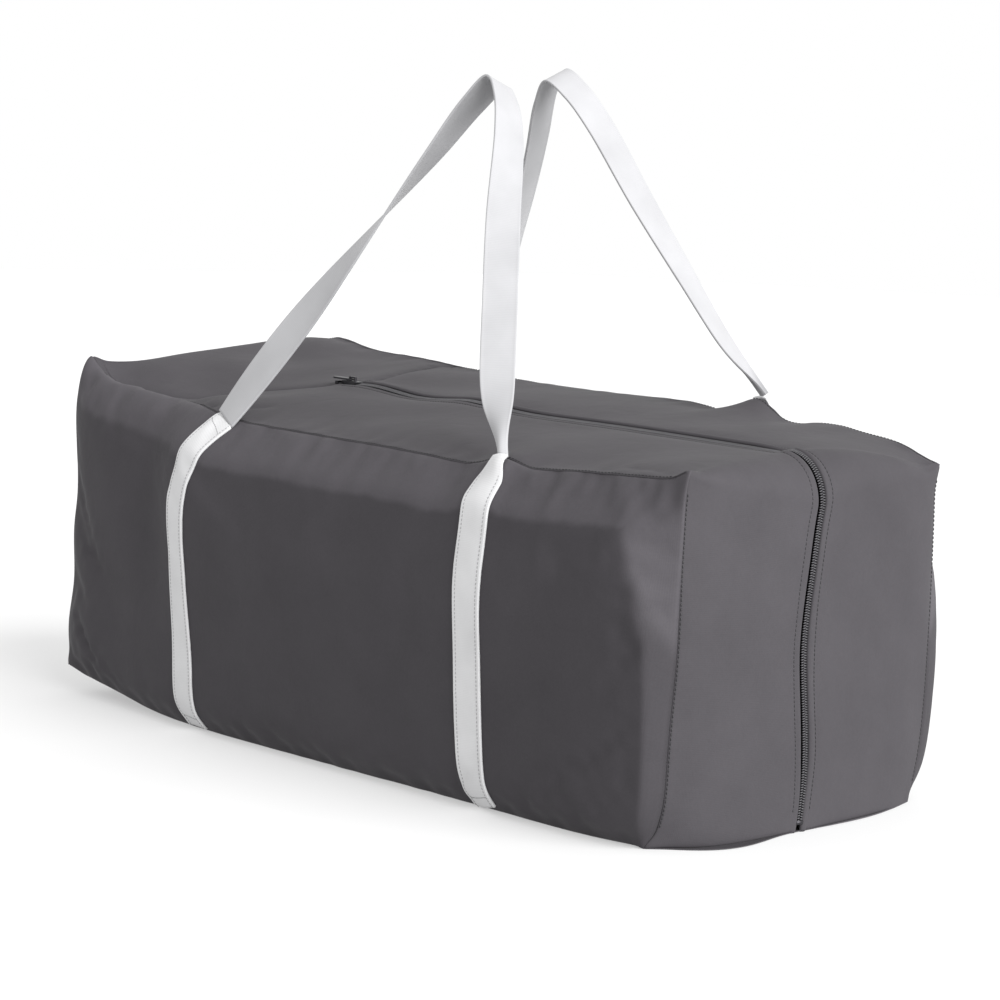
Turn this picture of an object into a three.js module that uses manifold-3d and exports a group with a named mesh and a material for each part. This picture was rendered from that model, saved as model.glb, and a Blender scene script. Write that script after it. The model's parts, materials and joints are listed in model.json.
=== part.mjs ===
// A playpen folded up in its zipped carry bag. Millimetres, +Z up.
// The origin is the middle of the bag's base. +X runs along the bag to the zipped end, -Y is the front.
import * as THREE from 'three';
import { mergeVertices } from 'three/addons/utils/BufferGeometryUtils.js';
import { RoundedBoxGeometry } from 'three/addons/geometries/RoundedBoxGeometry.js';
import Module from 'manifold-3d';

// ---- Driving dimensions ------------------------------------------------------------------------
const GAP = 0.3;

const bag = {
  halfLength: 407.5,
  halfWidth: 155,
  fabric: 1.5,
  frontSeamHeight: 290,
  backSeamHeight: 326,
  frontCornerRise: 28,
  backFall: 22,
  sideBulge: 24,
  endBulge: 6,
  leftBulge: 7.3,
  bendRadius: 42,
  seamBendRadius: 10,
};

const zip = {
  height: 314.3,
  fall: 0.034,
  chainHalfWidth: 3,
  chainHalfThickness: 1.2,
  tapeWidth: 13,
  tapeThickness: 0.7,
  lipHalfGap: 6.5,
  startX: -190,
  lowEnd: 8,
  sliderX: -172,
};

const webbing = { width: 30, thickness: 1.8 };

// Where the webbing leaves the bag, and how far each loop leans in at its top.
const handle = {
  leftTopX: -168,
  leftFootX: -198,
  rightX: 204,
  legFootHeight: 2,
  front: { baseY: -160, topY: -36, baseZ: 293, topZ: 600, leftShift: 8 },
  back: { baseY: 160, topY: 36, baseZ: 331, topZ: 610, leftShift: 22 },
};

// Points along each loop: x, and the height up the leaning loop as a share of its full height.
const loopPoints = [
  [-168, 0], [-145, 0.115], [-117, 0.25], [-78, 0.43], [-37, 0.615], [3, 0.795],
  [33, 0.935], [55, 1], [74, 0.95], [92, 0.85], [119, 0.615], [149, 0.38], [173, 0.195],
  [190, 0.085], [204, 0],
];

// The folded playpen: tubes run along X, and boards wrap them in a square.
const pack = {
  centreZ: 140,
  boardLength: 660,
  boardWidth: 250,
  boardThickness: 18,
  boardsX: 18,
  postRadius: 14,
  postOffset: 98,
  postFromX: -330,
  postToX: 350,
  railRadius: 12.5,
  railOffset: 36,
  longRailLength: 455,
  shortRailLength: 290,
  armRadius: 11,
  armOffset: 36,
  armLength: 560,
  hubRadius: 54,
  tubeWall: 1.4,
};

// ---- Colours and materials ---------------------------------------------------------------------
const finishes = {
  bagFabric: { color: 0x4d4b4e, roughness: 0.8, metalness: 0 },
  tape: { color: 0x38373a, roughness: 0.85, metalness: 0 },
  chain: { color: 0x2c2b2e, roughness: 0.45, metalness: 0 },
  sliderMetal: { color: 0x3a393c, roughness: 0.35, metalness: 0.9 },
  webbing: { color: 0xdadada, roughness: 0.75, metalness: 0 },
  board: { color: 0x5a595d, roughness: 0.85, metalness: 0 },
  tube: { color: 0xa9abad, roughness: 0.4, metalness: 0.8 },
  moulding: { color: 0x2f2f32, roughness: 0.5, metalness: 0 },
  netting: { color: 0x6a696d, roughness: 0.9, metalness: 0 },
  hookAndLoop: { color: 0x222224, roughness: 0.95, metalness: 0 },
};

// ---- Helpers -----------------------------------------------------------------------------------
const playpen = new THREE.Group();

function addMesh(name, finish, geometry, position = [0, 0, 0]) {
  const mesh = new THREE.Mesh(geometry, new THREE.MeshStandardMaterial(finishes[finish]));
  mesh.name = name;
  mesh.position.set(...position);
  playpen.add(mesh);
  return mesh;
}

function signedVolume(geometry) {
  const { position } = geometry.attributes;
  const corner = [0, 1, 2].map(() => new THREE.Vector3());
  let sum = 0;
  for (let i = 0; i < geometry.index.count; i += 3) {
    corner.forEach((v, k) => v.fromBufferAttribute(position, geometry.index.getX(i + k)));
    sum += corner[0].dot(corner[1].clone().cross(corner[2])) / 6;
  }
  return sum;
}

// Turns every triangle over when a mapping has left the faces pointing in.
function faceOutward(geometry) {
  if (signedVolume(geometry) > 0) return geometry;
  const index = geometry.index.array;
  for (let i = 0; i < index.length; i += 3) {
    [index[i], index[i + 1]] = [index[i + 1], index[i]];
  }
  return geometry;
}

// A unit block divided into segments, with each vertex (u, v, w from 0 to 1) put where place() says.
function shapedBlock(segments, place) {
  const geometry = new THREE.BoxGeometry(1, 1, 1, ...segments);
  const { position } = geometry.attributes;
  for (let i = 0; i < position.count; i += 1) {
    const [u, v, w] = [position.getX(i) + 0.5, position.getY(i) + 0.5, position.getZ(i) + 0.5];
    position.setXYZ(i, ...place(u, v, w));
  }
  return faceOutward(geometry);
}

const lerp = THREE.MathUtils.lerp;
const clamp = THREE.MathUtils.clamp;

// Even steps in v come out closer together near 0 and 1, where a swelling panel curves most.
function closerAtEnds(v) {
  return 0.5 - 0.5 * Math.cos(Math.PI * v);
}

// ---- The bag's outer surface -------------------------------------------------------------------
// The front seam is level, and climbs to a slack corner at the unzipped end.
function frontSeamZ(x) {
  const towardsCorner = clamp((-x - 100) / 300, 0, 1.03);
  return bag.frontSeamHeight + bag.frontCornerRise * towardsCorner ** 2;
}

// The back seam is held up by the back handle, and climbs towards the slack end.
function backSeamZ(x) {
  return bag.backSeamHeight - bag.backFall * (x / bag.halfLength) ** 3;
}

// The zip's line falls a little towards the zipped end.
function zipZ(x) {
  return zip.height - zip.fall * x;
}

// Across the top: level at the zip, then a parabola to the seam on each side.
function topZ(x, y) {
  const seamZ = y < 0 ? frontSeamZ(x) : backSeamZ(x);
  return lerp(zipZ(x), seamZ, (y / bag.halfWidth) ** 2);
}

// The front and back panels swell between their seams.
function sideY(x, z, side) {
  const seamZ = side < 0 ? frontSeamZ(x) : backSeamZ(x);
  const along = 1 - (x / bag.halfLength) ** 4;
  const up = 1 - (2 * z / seamZ - 1) ** 4;
  return side * (bag.halfWidth + bag.sideBulge * along * Math.max(up, 0));
}

// The zipped end swells across its width.
function endX(y) {
  return bag.halfLength + bag.endBulge * (1 - (y / bag.halfWidth) ** 2);
}

// The bend over the zipped end is wide at the zip and tight at the seams.
function bendRadius(y) {
  return lerp(bag.bendRadius, bag.seamBendRadius, (y / bag.halfWidth) ** 2);
}

// A point on the strip that runs over the top, round the bend and down the zipped end.
// share runs from 0 at startX to 1 at lowZ, and depth goes into the bag.
function stripPoint(share, y, depth, startX, lowZ) {
  const radius = bendRadius(y);
  const bendX = endX(y) - radius;
  const bendZ = topZ(bendX, y) - radius;
  if (share <= 0.6) {
    const x = lerp(startX, bendX, share / 0.6);
    return [x, y, topZ(x, y) - depth];
  }
  if (share <= 0.8) {
    const angle = (share - 0.6) / 0.2 * Math.PI / 2;
    const reach = radius - depth;
    return [bendX + reach * Math.sin(angle), y, bendZ + reach * Math.cos(angle)];
  }
  return [endX(y) - depth, y, lerp(bendZ, lowZ, (share - 0.8) / 0.2)];
}

function addStrip(name, finish, fromY, toY, fromDepth, toDepth, startX, lowZ, acrossSegments) {
  const place = (u, v, w) => (
    stripPoint(u, lerp(fromY, toY, v), lerp(fromDepth, toDepth, w), startX, lowZ)
  );
  return addMesh(name, finish, shapedBlock([20, acrossSegments, 1], place));
}

// ---- Bag panels --------------------------------------------------------------------------------
const edgeY = bag.halfWidth - bag.fabric - GAP;

function addSidePanel(name, side) {
  const seamZ = side < 0 ? frontSeamZ : backSeamZ;
  addMesh(name, 'bagFabric', shapedBlock([16, 10, 1], (u, v, w) => {
    const x = lerp(-bag.halfLength, bag.halfLength, u);
    const z = seamZ(x) * closerAtEnds(v);
    return [x, sideY(x, z, side) - side * bag.fabric * w, z];
  }));
}

function addBottomPanel() {
  const length = 2 * (bag.halfLength - bag.fabric);
  const geometry = new THREE.BoxGeometry(length, 2 * edgeY, bag.fabric);
  addMesh('bottom_panel', 'bagFabric', geometry, [0, 0, bag.fabric / 2]);
}

function addLeftEndPanel() {
  addMesh('left_end_panel', 'bagFabric', shapedBlock([1, 12, 8], (u, v, w) => {
    const y = lerp(-edgeY, edgeY, v);
    const height = topZ(-bag.halfLength, y) - bag.fabric;
    const z = lerp(bag.fabric + GAP, height, w);
    const swell = (1 - (y / bag.halfWidth) ** 2) * (1 - (2 * w - 1) ** 2);
    return [-bag.halfLength - bag.leftBulge * swell + bag.fabric * u, y, z];
  }));
}

// Past the closed end of the zip, the two strips are sewn edge to edge.
function addTopAndEndStrip(name, side) {
  const [startX, sewnEndX, openX] = [-bag.halfLength + bag.fabric + GAP, zip.startX - 10, zip.startX - 7];
  const [sewnSteps, zipSteps] = [2, 20];
  const steps = sewnSteps + 1 + zipSteps;
  addMesh(name, 'bagFabric', shapedBlock([steps, 5, 1], (u, v, w) => {
    const step = Math.round(u * steps);
    const depth = bag.fabric * w;
    if (step <= sewnSteps) {
      const x = lerp(startX, sewnEndX, step / sewnSteps);
      const y = side * lerp(edgeY, GAP, v);
      return [x, y, topZ(x, y) - depth];
    }
    const y = side * lerp(edgeY, zip.lipHalfGap, v);
    return stripPoint((step - sewnSteps - 1) / zipSteps, y, depth, openX, bag.fabric + GAP);
  }));
}

// ---- Zip ---------------------------------------------------------------------------------------
function addZipTrack() {
  const tapeDepth = bag.fabric + GAP;
  for (const [name, side] of [['zip_tape_front', -1], ['zip_tape_back', 1]]) {
    const inner = side * (zip.chainHalfWidth + GAP);
    const outer = side * (zip.chainHalfWidth + zip.tapeWidth);
    addStrip(name, 'tape', outer, inner, tapeDepth, tapeDepth + zip.tapeThickness,
      zip.startX, zip.lowEnd, 1);
  }
  addStrip('zip_chain', 'chain', -zip.chainHalfWidth, zip.chainHalfWidth,
    -zip.chainHalfThickness, zip.chainHalfThickness, zip.startX, zip.lowEnd, 1);
}

function addZipStops() {
  const [long, wide, thick] = [4, 2 * zip.chainHalfWidth + 1.6, 2 * zip.chainHalfThickness + 1];
  const topX = zip.startX - GAP - long / 2;
  addMesh('zip_top_stop', 'sliderMetal', new RoundedBoxGeometry(long, wide, thick, 1, 0.7),
    [topX, 0, zipZ(topX)]);
  const endZ = zip.lowEnd - GAP - long / 2;
  addMesh('zip_end_stop', 'sliderMetal', new RoundedBoxGeometry(thick, wide, long, 1, 0.7),
    [endX(0), 0, endZ]);
}

// The slider's body is a channel over the chain, with an arch on top that holds the pull.
const slider = {
  length: 20,
  halfWidth: 5.4,
  innerHalfWidth: 3.6,
  roof: 1.4,
  archHalfLength: 4.6,
  archWidth: 2.2,
  archHeight: 4.4,
  windowHalfLength: 3,
  windowHeight: 2.9,
};
// Heights above the chain's middle plane.
const sliderRoofZ = zip.chainHalfThickness + 0.5 + slider.roof;
const pullAxisZ = sliderRoofZ + 1.5;
const zipTilt = Math.atan(zip.fall);

const wasm = await Module();
wasm.setup();

function toManifold(geometry) {
  const plain = geometry.clone();
  plain.deleteAttribute('normal');
  plain.deleteAttribute('uv');
  const merged = mergeVertices(plain, 1e-4);
  return new wasm.Manifold(new wasm.Mesh({
    numProp: 3,
    vertProperties: new Float32Array(merged.attributes.position.array),
    triVerts: new Uint32Array(merged.index.array),
  }));
}

function fromManifold(solid) {
  const mesh = solid.getMesh();
  const geometry = new THREE.BufferGeometry();
  geometry.setAttribute('position', new THREE.BufferAttribute(mesh.vertProperties, 3));
  geometry.setIndex(new THREE.BufferAttribute(mesh.triVerts, 1));
  geometry.computeVertexNormals();
  return geometry;
}

function blockAt(size, centre) {
  return toManifold(new THREE.BoxGeometry(...size).translate(...centre));
}

// A flat outline in the XZ plane, thickened along Y about y = 0.
function plateAcrossY(shape, width) {
  const plate = new THREE.ExtrudeGeometry(shape, { depth: width, bevelEnabled: false });
  return plate.translate(0, 0, -width / 2).rotateX(Math.PI / 2);
}

function addSlider() {
  const low = -zip.chainHalfThickness - 0.2;
  const flangeHeight = sliderRoofZ - low;
  const flangeWidth = slider.halfWidth - slider.innerHalfWidth;
  const flangeY = (slider.halfWidth + slider.innerHalfWidth) / 2;
  const roof = blockAt([slider.length, 2 * slider.halfWidth, slider.roof],
    [0, 0, sliderRoofZ - slider.roof / 2]);
  const flanges = [-1, 1].map((side) => (
    blockAt([slider.length - 3, flangeWidth, flangeHeight], [0, side * flangeY, low + flangeHeight / 2])
  ));
  const arch = new THREE.Shape();
  arch.moveTo(-slider.archHalfLength, -0.5);
  arch.lineTo(slider.archHalfLength, -0.5);
  arch.lineTo(slider.archHalfLength, slider.archHeight - 1.5);
  arch.quadraticCurveTo(slider.archHalfLength, slider.archHeight, slider.archHalfLength - 1.5,
    slider.archHeight);
  arch.lineTo(1.5 - slider.archHalfLength, slider.archHeight);
  arch.quadraticCurveTo(-slider.archHalfLength, slider.archHeight, -slider.archHalfLength,
    slider.archHeight - 1.5);
  arch.closePath();
  const archPlate = plateAcrossY(arch, slider.archWidth).translate(0, 0, sliderRoofZ);
  const window = blockAt([2 * slider.windowHalfLength, 8, slider.windowHeight],
    [0, 0, sliderRoofZ + slider.windowHeight / 2 + 0.01]);
  const body = flanges.reduce((sum, flange) => sum.add(flange), roof)
    .add(toManifold(archPlate)).subtract(window);
  const mesh = addMesh('zip_slider', 'sliderMetal', fromManifold(body), [zip.sliderX, 0, zipZ(zip.sliderX)]);
  mesh.rotation.y = zipTilt;
}

// The pull lies towards the closed end. Its cross bar sits in the slider's arch, on the hinge axis.
function addPull() {
  const [barHalf, slotEnd, tabEnd, halfWidth, slotHalfWidth] = [0.8, -6.6, -27, 4, 1.8];
  const outline = new THREE.Shape();
  outline.moveTo(barHalf, -3);
  outline.lineTo(barHalf, 3);
  outline.lineTo(slotEnd, 3);
  outline.lineTo(slotEnd - 3, halfWidth);
  outline.lineTo(tabEnd + halfWidth, halfWidth);
  outline.absarc(tabEnd + halfWidth, 0, halfWidth, Math.PI / 2, 3 * Math.PI / 2, false);
  outline.lineTo(slotEnd - 3, -halfWidth);
  outline.lineTo(slotEnd, -3);
  outline.closePath();
  const slot = new THREE.Path();
  slot.moveTo(-barHalf, -slotHalfWidth);
  slot.lineTo(slotEnd, -slotHalfWidth);
  slot.lineTo(slotEnd, slotHalfWidth);
  slot.lineTo(-barHalf, slotHalfWidth);
  slot.closePath();
  outline.holes.push(slot);
  const thickness = 2 * barHalf;
  const tab = new THREE.ExtrudeGeometry(outline, { depth: thickness, bevelEnabled: false, curveSegments: 10 });
  tab.translate(0, 0, -thickness / 2);
  const [axisX, axisZ] = [zip.sliderX + pullAxisZ * Math.sin(zipTilt), pullAxisZ * Math.cos(zipTilt)];
  const mesh = addMesh('zip_pull', 'sliderMetal', tab, [axisX, 0, zipZ(zip.sliderX) + axisZ]);
  mesh.rotation.y = zipTilt;
}

// ---- Webbing -----------------------------------------------------------------------------------
// The sewn leg of a handle follows the swell of its panel, down to the bottom seam.
function addSewnLeg(name, side, topX, footX, topZ0) {
  addMesh(name, 'webbing', shapedBlock([1, 14, 1], (u, v, w) => {
    const z = lerp(handle.legFootHeight, topZ0, closerAtEnds(v));
    const x = lerp(footX, topX, v ** 4) + (u - 0.5) * webbing.width;
    const seamZ = side < 0 ? frontSeamZ(x) : backSeamZ(x);
    const y = sideY(x, Math.min(z, seamZ), side) + side * (3 * GAP + webbing.thickness * w);
    return [x, y, z];
  }));
}

// One loop of webbing. It lies flat on its panel's plane at both feet, where its ends are level, and
// turns a quarter turn on each leg, so that it lies flat over the top.
function addLoop(name, side, { baseY, topY, baseZ, topZ: crownZ, leftShift }) {
  const slope = new THREE.Vector3(0, topY - baseY, crownZ - baseZ);
  const height = slope.length();
  const up = slope.normalize();
  const alongX = new THREE.Vector3(1, 0, 0);
  const outward = new THREE.Vector3().crossVectors(alongX, up).multiplyScalar(-side);
  const base = new THREE.Vector3(0, baseY, baseZ);
  const shifted = (x, share) => (x < 55 ? x + leftShift * (1 - share) : x);
  const route = new THREE.CatmullRomCurve3(loopPoints.map(([x, share]) => (
    base.clone().addScaledVector(alongX, shifted(x, share)).addScaledVector(up, share * height)
  )), false, 'centripetal');
  const samples = 56;
  route.arcLengthDivisions = 400;
  const apex = 0.535;
  addMesh(name, 'webbing', shapedBlock([1, samples, 1], (u, v, w) => {
    const centre = route.getPointAt(v);
    const along = route.getTangentAt(v);
    const inPlane = new THREE.Vector3().crossVectors(outward, along);
    const legShare = v < apex ? v / apex : (1 - v) / (1 - apex);
    const turn = THREE.MathUtils.smoothstep(legShare, 0.1, 1) * Math.PI / 2;
    const face = outward.clone().multiplyScalar(Math.cos(turn)).addScaledVector(inPlane, Math.sin(turn));
    const square = new THREE.Vector3().crossVectors(along, face);
    const level = alongX.clone().multiplyScalar(v < apex ? -side : side);
    const across = level.lerp(square, THREE.MathUtils.smoothstep(legShare, 0, 0.14));
    const point = centre.addScaledVector(across, (u - 0.5) * webbing.width)
      .addScaledVector(face, (w - 0.5) * webbing.thickness);
    return point.toArray();
  }));
}

// ---- The folded playpen ------------------------------------------------------------------------
const corners = [['front_low', -1, -1], ['front_high', -1, 1], ['back_low', 1, -1], ['back_high', 1, 1]];

// Four boards lie pinwheel fashion, so each covers the edge of the next.
function addBoards() {
  const { boardLength, boardWidth, boardThickness, boardsX, centreZ } = pack;
  const offset = boardWidth / 2;
  const shift = boardThickness / 2;
  const sides = [['front', 0], ['top', 1], ['back', 2], ['bottom', 3]];
  for (const [name, quarter] of sides) {
    const board = new RoundedBoxGeometry(boardLength, boardThickness - GAP, boardWidth - GAP, 1, 4);
    board.translate(0, -offset, -shift).rotateX(-quarter * Math.PI / 2);
    addMesh(`mattress_board_${name}`, 'board', board, [boardsX, 0, centreZ]);
  }
}

function addWrapStrap(name, x) {
  const half = pack.boardWidth / 2 + pack.boardThickness / 2 + GAP;
  const [width, thickness] = [25, 1.5];
  const square = (reach) => [[-reach, -reach], [reach, -reach], [reach, reach], [-reach, reach]]
    .map(([a, b]) => new THREE.Vector2(a, b));
  const ring = new THREE.Shape(square(half + thickness));
  ring.holes.push(new THREE.Path(square(half).reverse()));
  const band = new THREE.ExtrudeGeometry(ring, { depth: width, bevelEnabled: false });
  band.rotateY(Math.PI / 2);
  addMesh(name, 'hookAndLoop', band, [x, 0, pack.centreZ]);
}

// A hollow tube along X, turned from its closed wall section.
function addTube(name, radius, fromX, toX, y, z) {
  const length = toX - fromX;
  const inner = radius - pack.tubeWall;
  const wall = [[inner, 0], [radius, 0], [radius, length], [inner, length], [inner, 0]];
  const tube = new THREE.LatheGeometry(wall.map(([r, a]) => new THREE.Vector2(r, a)), 12);
  addMesh(name, 'tube', faceOutward(tube.rotateZ(-Math.PI / 2)), [fromX, y, pack.centreZ + z]);
}

function addCorners() {
  const blockSize = 38;
  for (const [name, sideY0, sideZ] of corners) {
    const [y, z] = [sideY0 * pack.postOffset, sideZ * pack.postOffset];
    addTube(`corner_post_${name}`, pack.postRadius, pack.postFromX, pack.postToX, y, z);

    const reach = pack.postOffset - pack.railOffset + pack.railRadius;
    const block = toManifold(new RoundedBoxGeometry(42, blockSize, blockSize, 1, 4));
    const lugY = blockAt([26, reach, 24], [-8, -sideY0 * reach / 2, 0]);
    const lugZ = blockAt([26, 24, reach], [-8, 0, -sideZ * reach / 2]);
    const joint = fromManifold(block.add(lugY).add(lugZ));
    addMesh(`corner_joint_${name}`, 'moulding', joint, [pack.postToX + 21 + GAP, y, pack.centreZ + z]);

    const cup = [[0, 0], [17, 0], [20, 4], [19, 30], [pack.postRadius + GAP, 30],
      [pack.postRadius + GAP, 16], [0, 16]].map(([r, a]) => new THREE.Vector2(r, a));
    const foot = faceOutward(new THREE.LatheGeometry(cup, 12).rotateZ(-Math.PI / 2));
    addMesh(`foot_${name}`, 'moulding', foot, [pack.postFromX - 16 - GAP, y, pack.centreZ + z]);
  }
}

// The halves of each top rail lie side by side, with the centre lock across their free ends.
function addTopRails() {
  const sides = [
    ['front', 0, -1, pack.longRailLength], ['back', 0, 1, pack.longRailLength],
    ['left', 1, -1, pack.shortRailLength], ['right', 1, 1, pack.shortRailLength],
  ];
  for (const [name, upright, side, length] of sides) {
    const row = side * pack.postOffset;
    const lockX = pack.postToX - length;
    for (const [half, sign] of [['a', -1], ['b', 1]]) {
      const [y, z] = upright ? [sign * pack.railOffset, row] : [row, sign * pack.railOffset];
      addTube(`rail_${name}_${half}`, pack.railRadius, lockX, pack.postToX, y, z);
    }
    const span = 2 * (pack.railOffset + pack.railRadius);
    const size = upright ? [40, span, 29] : [40, 29, span];
    const centre = upright ? [0, row] : [row, 0];
    addMesh(`rail_lock_${name}`, 'moulding', new RoundedBoxGeometry(...size, 1, 5),
      [lockX - 20 - GAP, centre[0], pack.centreZ + centre[1]]);
  }
}

function addFloorFrame() {
  const armToX = pack.postFromX + 5 + pack.armLength;
  for (const [name, sideY0, sideZ] of corners) {
    addTube(`floor_arm_${name}`, pack.armRadius, pack.postFromX + 5, armToX,
      sideY0 * pack.armOffset, sideZ * pack.armOffset);
  }
  const profile = [[0, 0], [pack.hubRadius, 0], [pack.hubRadius, 22], [pack.hubRadius - 8, 30],
    [20, 34], [0, 34]].map(([r, a]) => new THREE.Vector2(r, a));
  const hub = faceOutward(new THREE.LatheGeometry(profile, 24).rotateZ(-Math.PI / 2));
  addMesh('floor_hub', 'moulding', hub, [armToX + GAP, 0, pack.centreZ]);
}

// Each mesh side is folded into a flat bundle between the floor arms and the rails.
function addMeshSides() {
  const [length, thickness, offset] = [600, 20, 67];
  const wide = 2 * (offset + thickness / 2);
  const narrow = 2 * (offset - thickness / 2) - 2;
  const centreX = -20;
  for (const [name, upright, side] of [['front', 0, -1], ['back', 0, 1], ['left', 1, -1], ['right', 1, 1]]) {
    const size = upright ? [length, narrow, thickness] : [length, thickness, wide];
    const [y, z] = upright ? [0, side * offset] : [side * offset, 0];
    addMesh(`mesh_side_${name}`, 'netting', new RoundedBoxGeometry(...size, 1, 6),
      [centreX, y, pack.centreZ + z]);
  }
}

// ---- Assembly ----------------------------------------------------------------------------------
addSidePanel('front_panel', -1);
addSidePanel('back_panel', 1);
addBottomPanel();
addLeftEndPanel();
addTopAndEndStrip('top_end_strip_front', -1);
addTopAndEndStrip('top_end_strip_back', 1);
addZipTrack();
addZipStops();
addSlider();
addPull();
for (const [name, side, spec] of [['front', -1, handle.front], ['back', 1, handle.back]]) {
  const legTop = spec.baseZ - GAP - 1;
  const [leftTop, leftFoot] = [handle.leftTopX + spec.leftShift, handle.leftFootX + spec.leftShift];
  addSewnLeg(`sewn_leg_${name}_left`, side, leftTop, leftFoot, legTop);
  addSewnLeg(`sewn_leg_${name}_right`, side, handle.rightX, handle.rightX, legTop);
  addLoop(`handle_${name}`, side, spec);
}
addBoards();
addWrapStrap('wrap_strap_left', -190);
addWrapStrap('wrap_strap_right', 170);
addCorners();
addTopRails();
addFloorFrame();
addMeshSides();

export default playpen;
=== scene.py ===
"""A playpen folded up in its zipped carry bag: the looks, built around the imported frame."""
import json
import math

import bmesh
import bpy
import numpy as np
from bpy.props import FloatProperty, FloatVectorProperty, IntProperty, PointerProperty
from mathutils import Matrix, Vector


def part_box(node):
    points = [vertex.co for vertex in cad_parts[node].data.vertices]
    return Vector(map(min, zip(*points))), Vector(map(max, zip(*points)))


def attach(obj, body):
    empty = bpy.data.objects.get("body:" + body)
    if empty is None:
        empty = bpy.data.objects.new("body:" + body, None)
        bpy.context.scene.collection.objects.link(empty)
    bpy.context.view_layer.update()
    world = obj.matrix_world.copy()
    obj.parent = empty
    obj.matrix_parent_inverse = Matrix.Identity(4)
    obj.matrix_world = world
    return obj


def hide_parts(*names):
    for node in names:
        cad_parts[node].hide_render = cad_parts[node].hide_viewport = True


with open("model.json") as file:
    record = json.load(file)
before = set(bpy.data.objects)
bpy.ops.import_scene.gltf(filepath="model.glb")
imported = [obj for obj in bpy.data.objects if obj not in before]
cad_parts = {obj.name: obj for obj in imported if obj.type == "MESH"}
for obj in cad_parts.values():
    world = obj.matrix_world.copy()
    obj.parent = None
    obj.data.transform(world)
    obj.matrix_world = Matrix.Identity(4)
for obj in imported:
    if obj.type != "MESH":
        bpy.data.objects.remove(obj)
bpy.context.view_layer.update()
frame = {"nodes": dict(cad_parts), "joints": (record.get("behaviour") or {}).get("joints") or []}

bl_info = {
    "name": "Folded Playpen in Carry Bag",
    "version": (1, 0, 0),
    "blender": (4, 5, 0),
    "location": "3D View > Sidebar > Playpen",
    "description": "Builds the cloth, webbing, zip and packed frame of a folded playpen in its carry bag",
    "category": "Object",
}

MM = 0.001

# ---- Sizes taken from the frame ------------------------------------------------------------------
JOINTS = {joint["name"]: joint for joint in frame["joints"]}
HALF_WIDTH = -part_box("left_end_panel")[0].y + 1.8 * MM
ZIP_START_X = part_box("zip_chain")[0].x
SLIDER_LOW, SLIDER_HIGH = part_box("zip_slider")
SLIDER_X = (SLIDER_LOW.x + SLIDER_HIGH.x) / 2
ZIP_SLOPE = JOINTS["zip_slider_slide"]["axis"][2] / JOINTS["zip_slider_slide"]["axis"][0]
CHAIN_IN_SLIDER = 1.55 * MM  # height of the chain's middle above the slider's underside
ZIP_Z_AT_SLIDER = SLIDER_LOW.z + CHAIN_IN_SLIDER
SEAM_Y = HALF_WIDTH - 2 * MM
SIDE_NAMES = {-1: "front", 1: "back"}


# ---- Curves, noise and surfaces ------------------------------------------------------------------
def lerp(a, b, share):
    """The value a share of the way from a to b."""
    return a + (b - a) * share


def smooth(value, low, high):
    """0 below low, 1 above high, and an S-shaped cubic between."""
    share = np.clip((value - low) / (high - low), 0, 1)
    return share * share * (3 - 2 * share)


def spline(x, knots):
    """Natural cubic spline through knots of (x, value): second derivatives come from one linear system."""
    kx, ky = np.array(knots, float).T
    n, h = len(kx), np.diff(kx)
    system, right = np.eye(n), np.zeros(n)
    inner = np.arange(1, n - 1)
    system[inner, inner - 1] = h[:-1]
    system[inner, inner] = 2 * (h[:-1] + h[1:])
    system[inner, inner + 1] = h[1:]
    slopes = np.diff(ky) / h
    right[inner] = 6 * np.diff(slopes)
    second = np.linalg.solve(system, right)
    x = np.clip(x, kx[0], kx[-1])
    i = np.clip(np.searchsorted(kx, x) - 1, 0, n - 2)
    a, b = (kx[i + 1] - x) / h[i], (x - kx[i]) / h[i]
    cubic = ((a**3 - a) * second[i] + (b**3 - b) * second[i + 1]) * h[i] ** 2 / 6
    return a * ky[i] + b * ky[i + 1] + cubic


def spline_mm(x, knots):
    """The same spline, for knots written in millimetres and x in metres."""
    return spline(x / MM, knots) * MM


def catmull_rom(knots, count):
    """A centripetal Catmull-Rom curve through knots: each knot's parameter grows by the root of the chord, and
    each stretch is a cubic whose end slopes come from its neighbours."""
    knots = np.asarray(knots, float)
    ends = np.concatenate([[2 * knots[0] - knots[1]], knots, [2 * knots[-1] - knots[-2]]])
    step = np.sqrt(np.linalg.norm(np.diff(ends, axis=0), axis=1))[:, None]
    d = np.diff(ends, axis=0) / step
    slope = d[:-1] - (ends[2:] - ends[:-2]) / (step[:-1] + step[1:]) + d[1:]
    place = np.linspace(0, len(knots) - 1, count)
    i = np.minimum(place.astype(int), len(knots) - 2)
    f = (place - i)[:, None]
    a, b = knots[i], knots[i + 1]
    sa, sb = slope[i] * step[i + 1], slope[i + 1] * step[i + 1]
    return ((2 * f**3 - 3 * f**2 + 1) * a + (f**3 - 2 * f**2 + f) * sa + (3 * f**2 - 2 * f**3) * b
            + (f**3 - f**2) * sb)


def thin_plate(points):
    """A sheet bent through points of (x, y, height) with least bending: a sum of r*r*log(r) terms and a
    plane."""
    points = np.array(points, float)
    xy, height = points[:, :2], points[:, 2]

    def kernel(d2):
        return 0.5 * d2 * np.log(np.maximum(d2, 1e-9))

    n = len(points)
    plane = np.column_stack([np.ones(n), xy])
    system = np.zeros((n + 3, n + 3))
    system[:n, :n] = kernel(((xy[:, None] - xy[None]) ** 2).sum(2)) + 60 * np.eye(n)
    system[:n, n:], system[n:, :n] = plane, plane.T
    weights = np.linalg.solve(system, np.concatenate([height, np.zeros(3)]))

    def height_at(x, y):
        where = np.stack([x / MM, y / MM], -1)
        d2 = ((where[..., None, :] - xy) ** 2).sum(-1)
        flat = weights[n] + where @ weights[n + 1 :]
        return (kernel(d2) @ weights[:n] + flat) * MM

    return height_at


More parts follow.
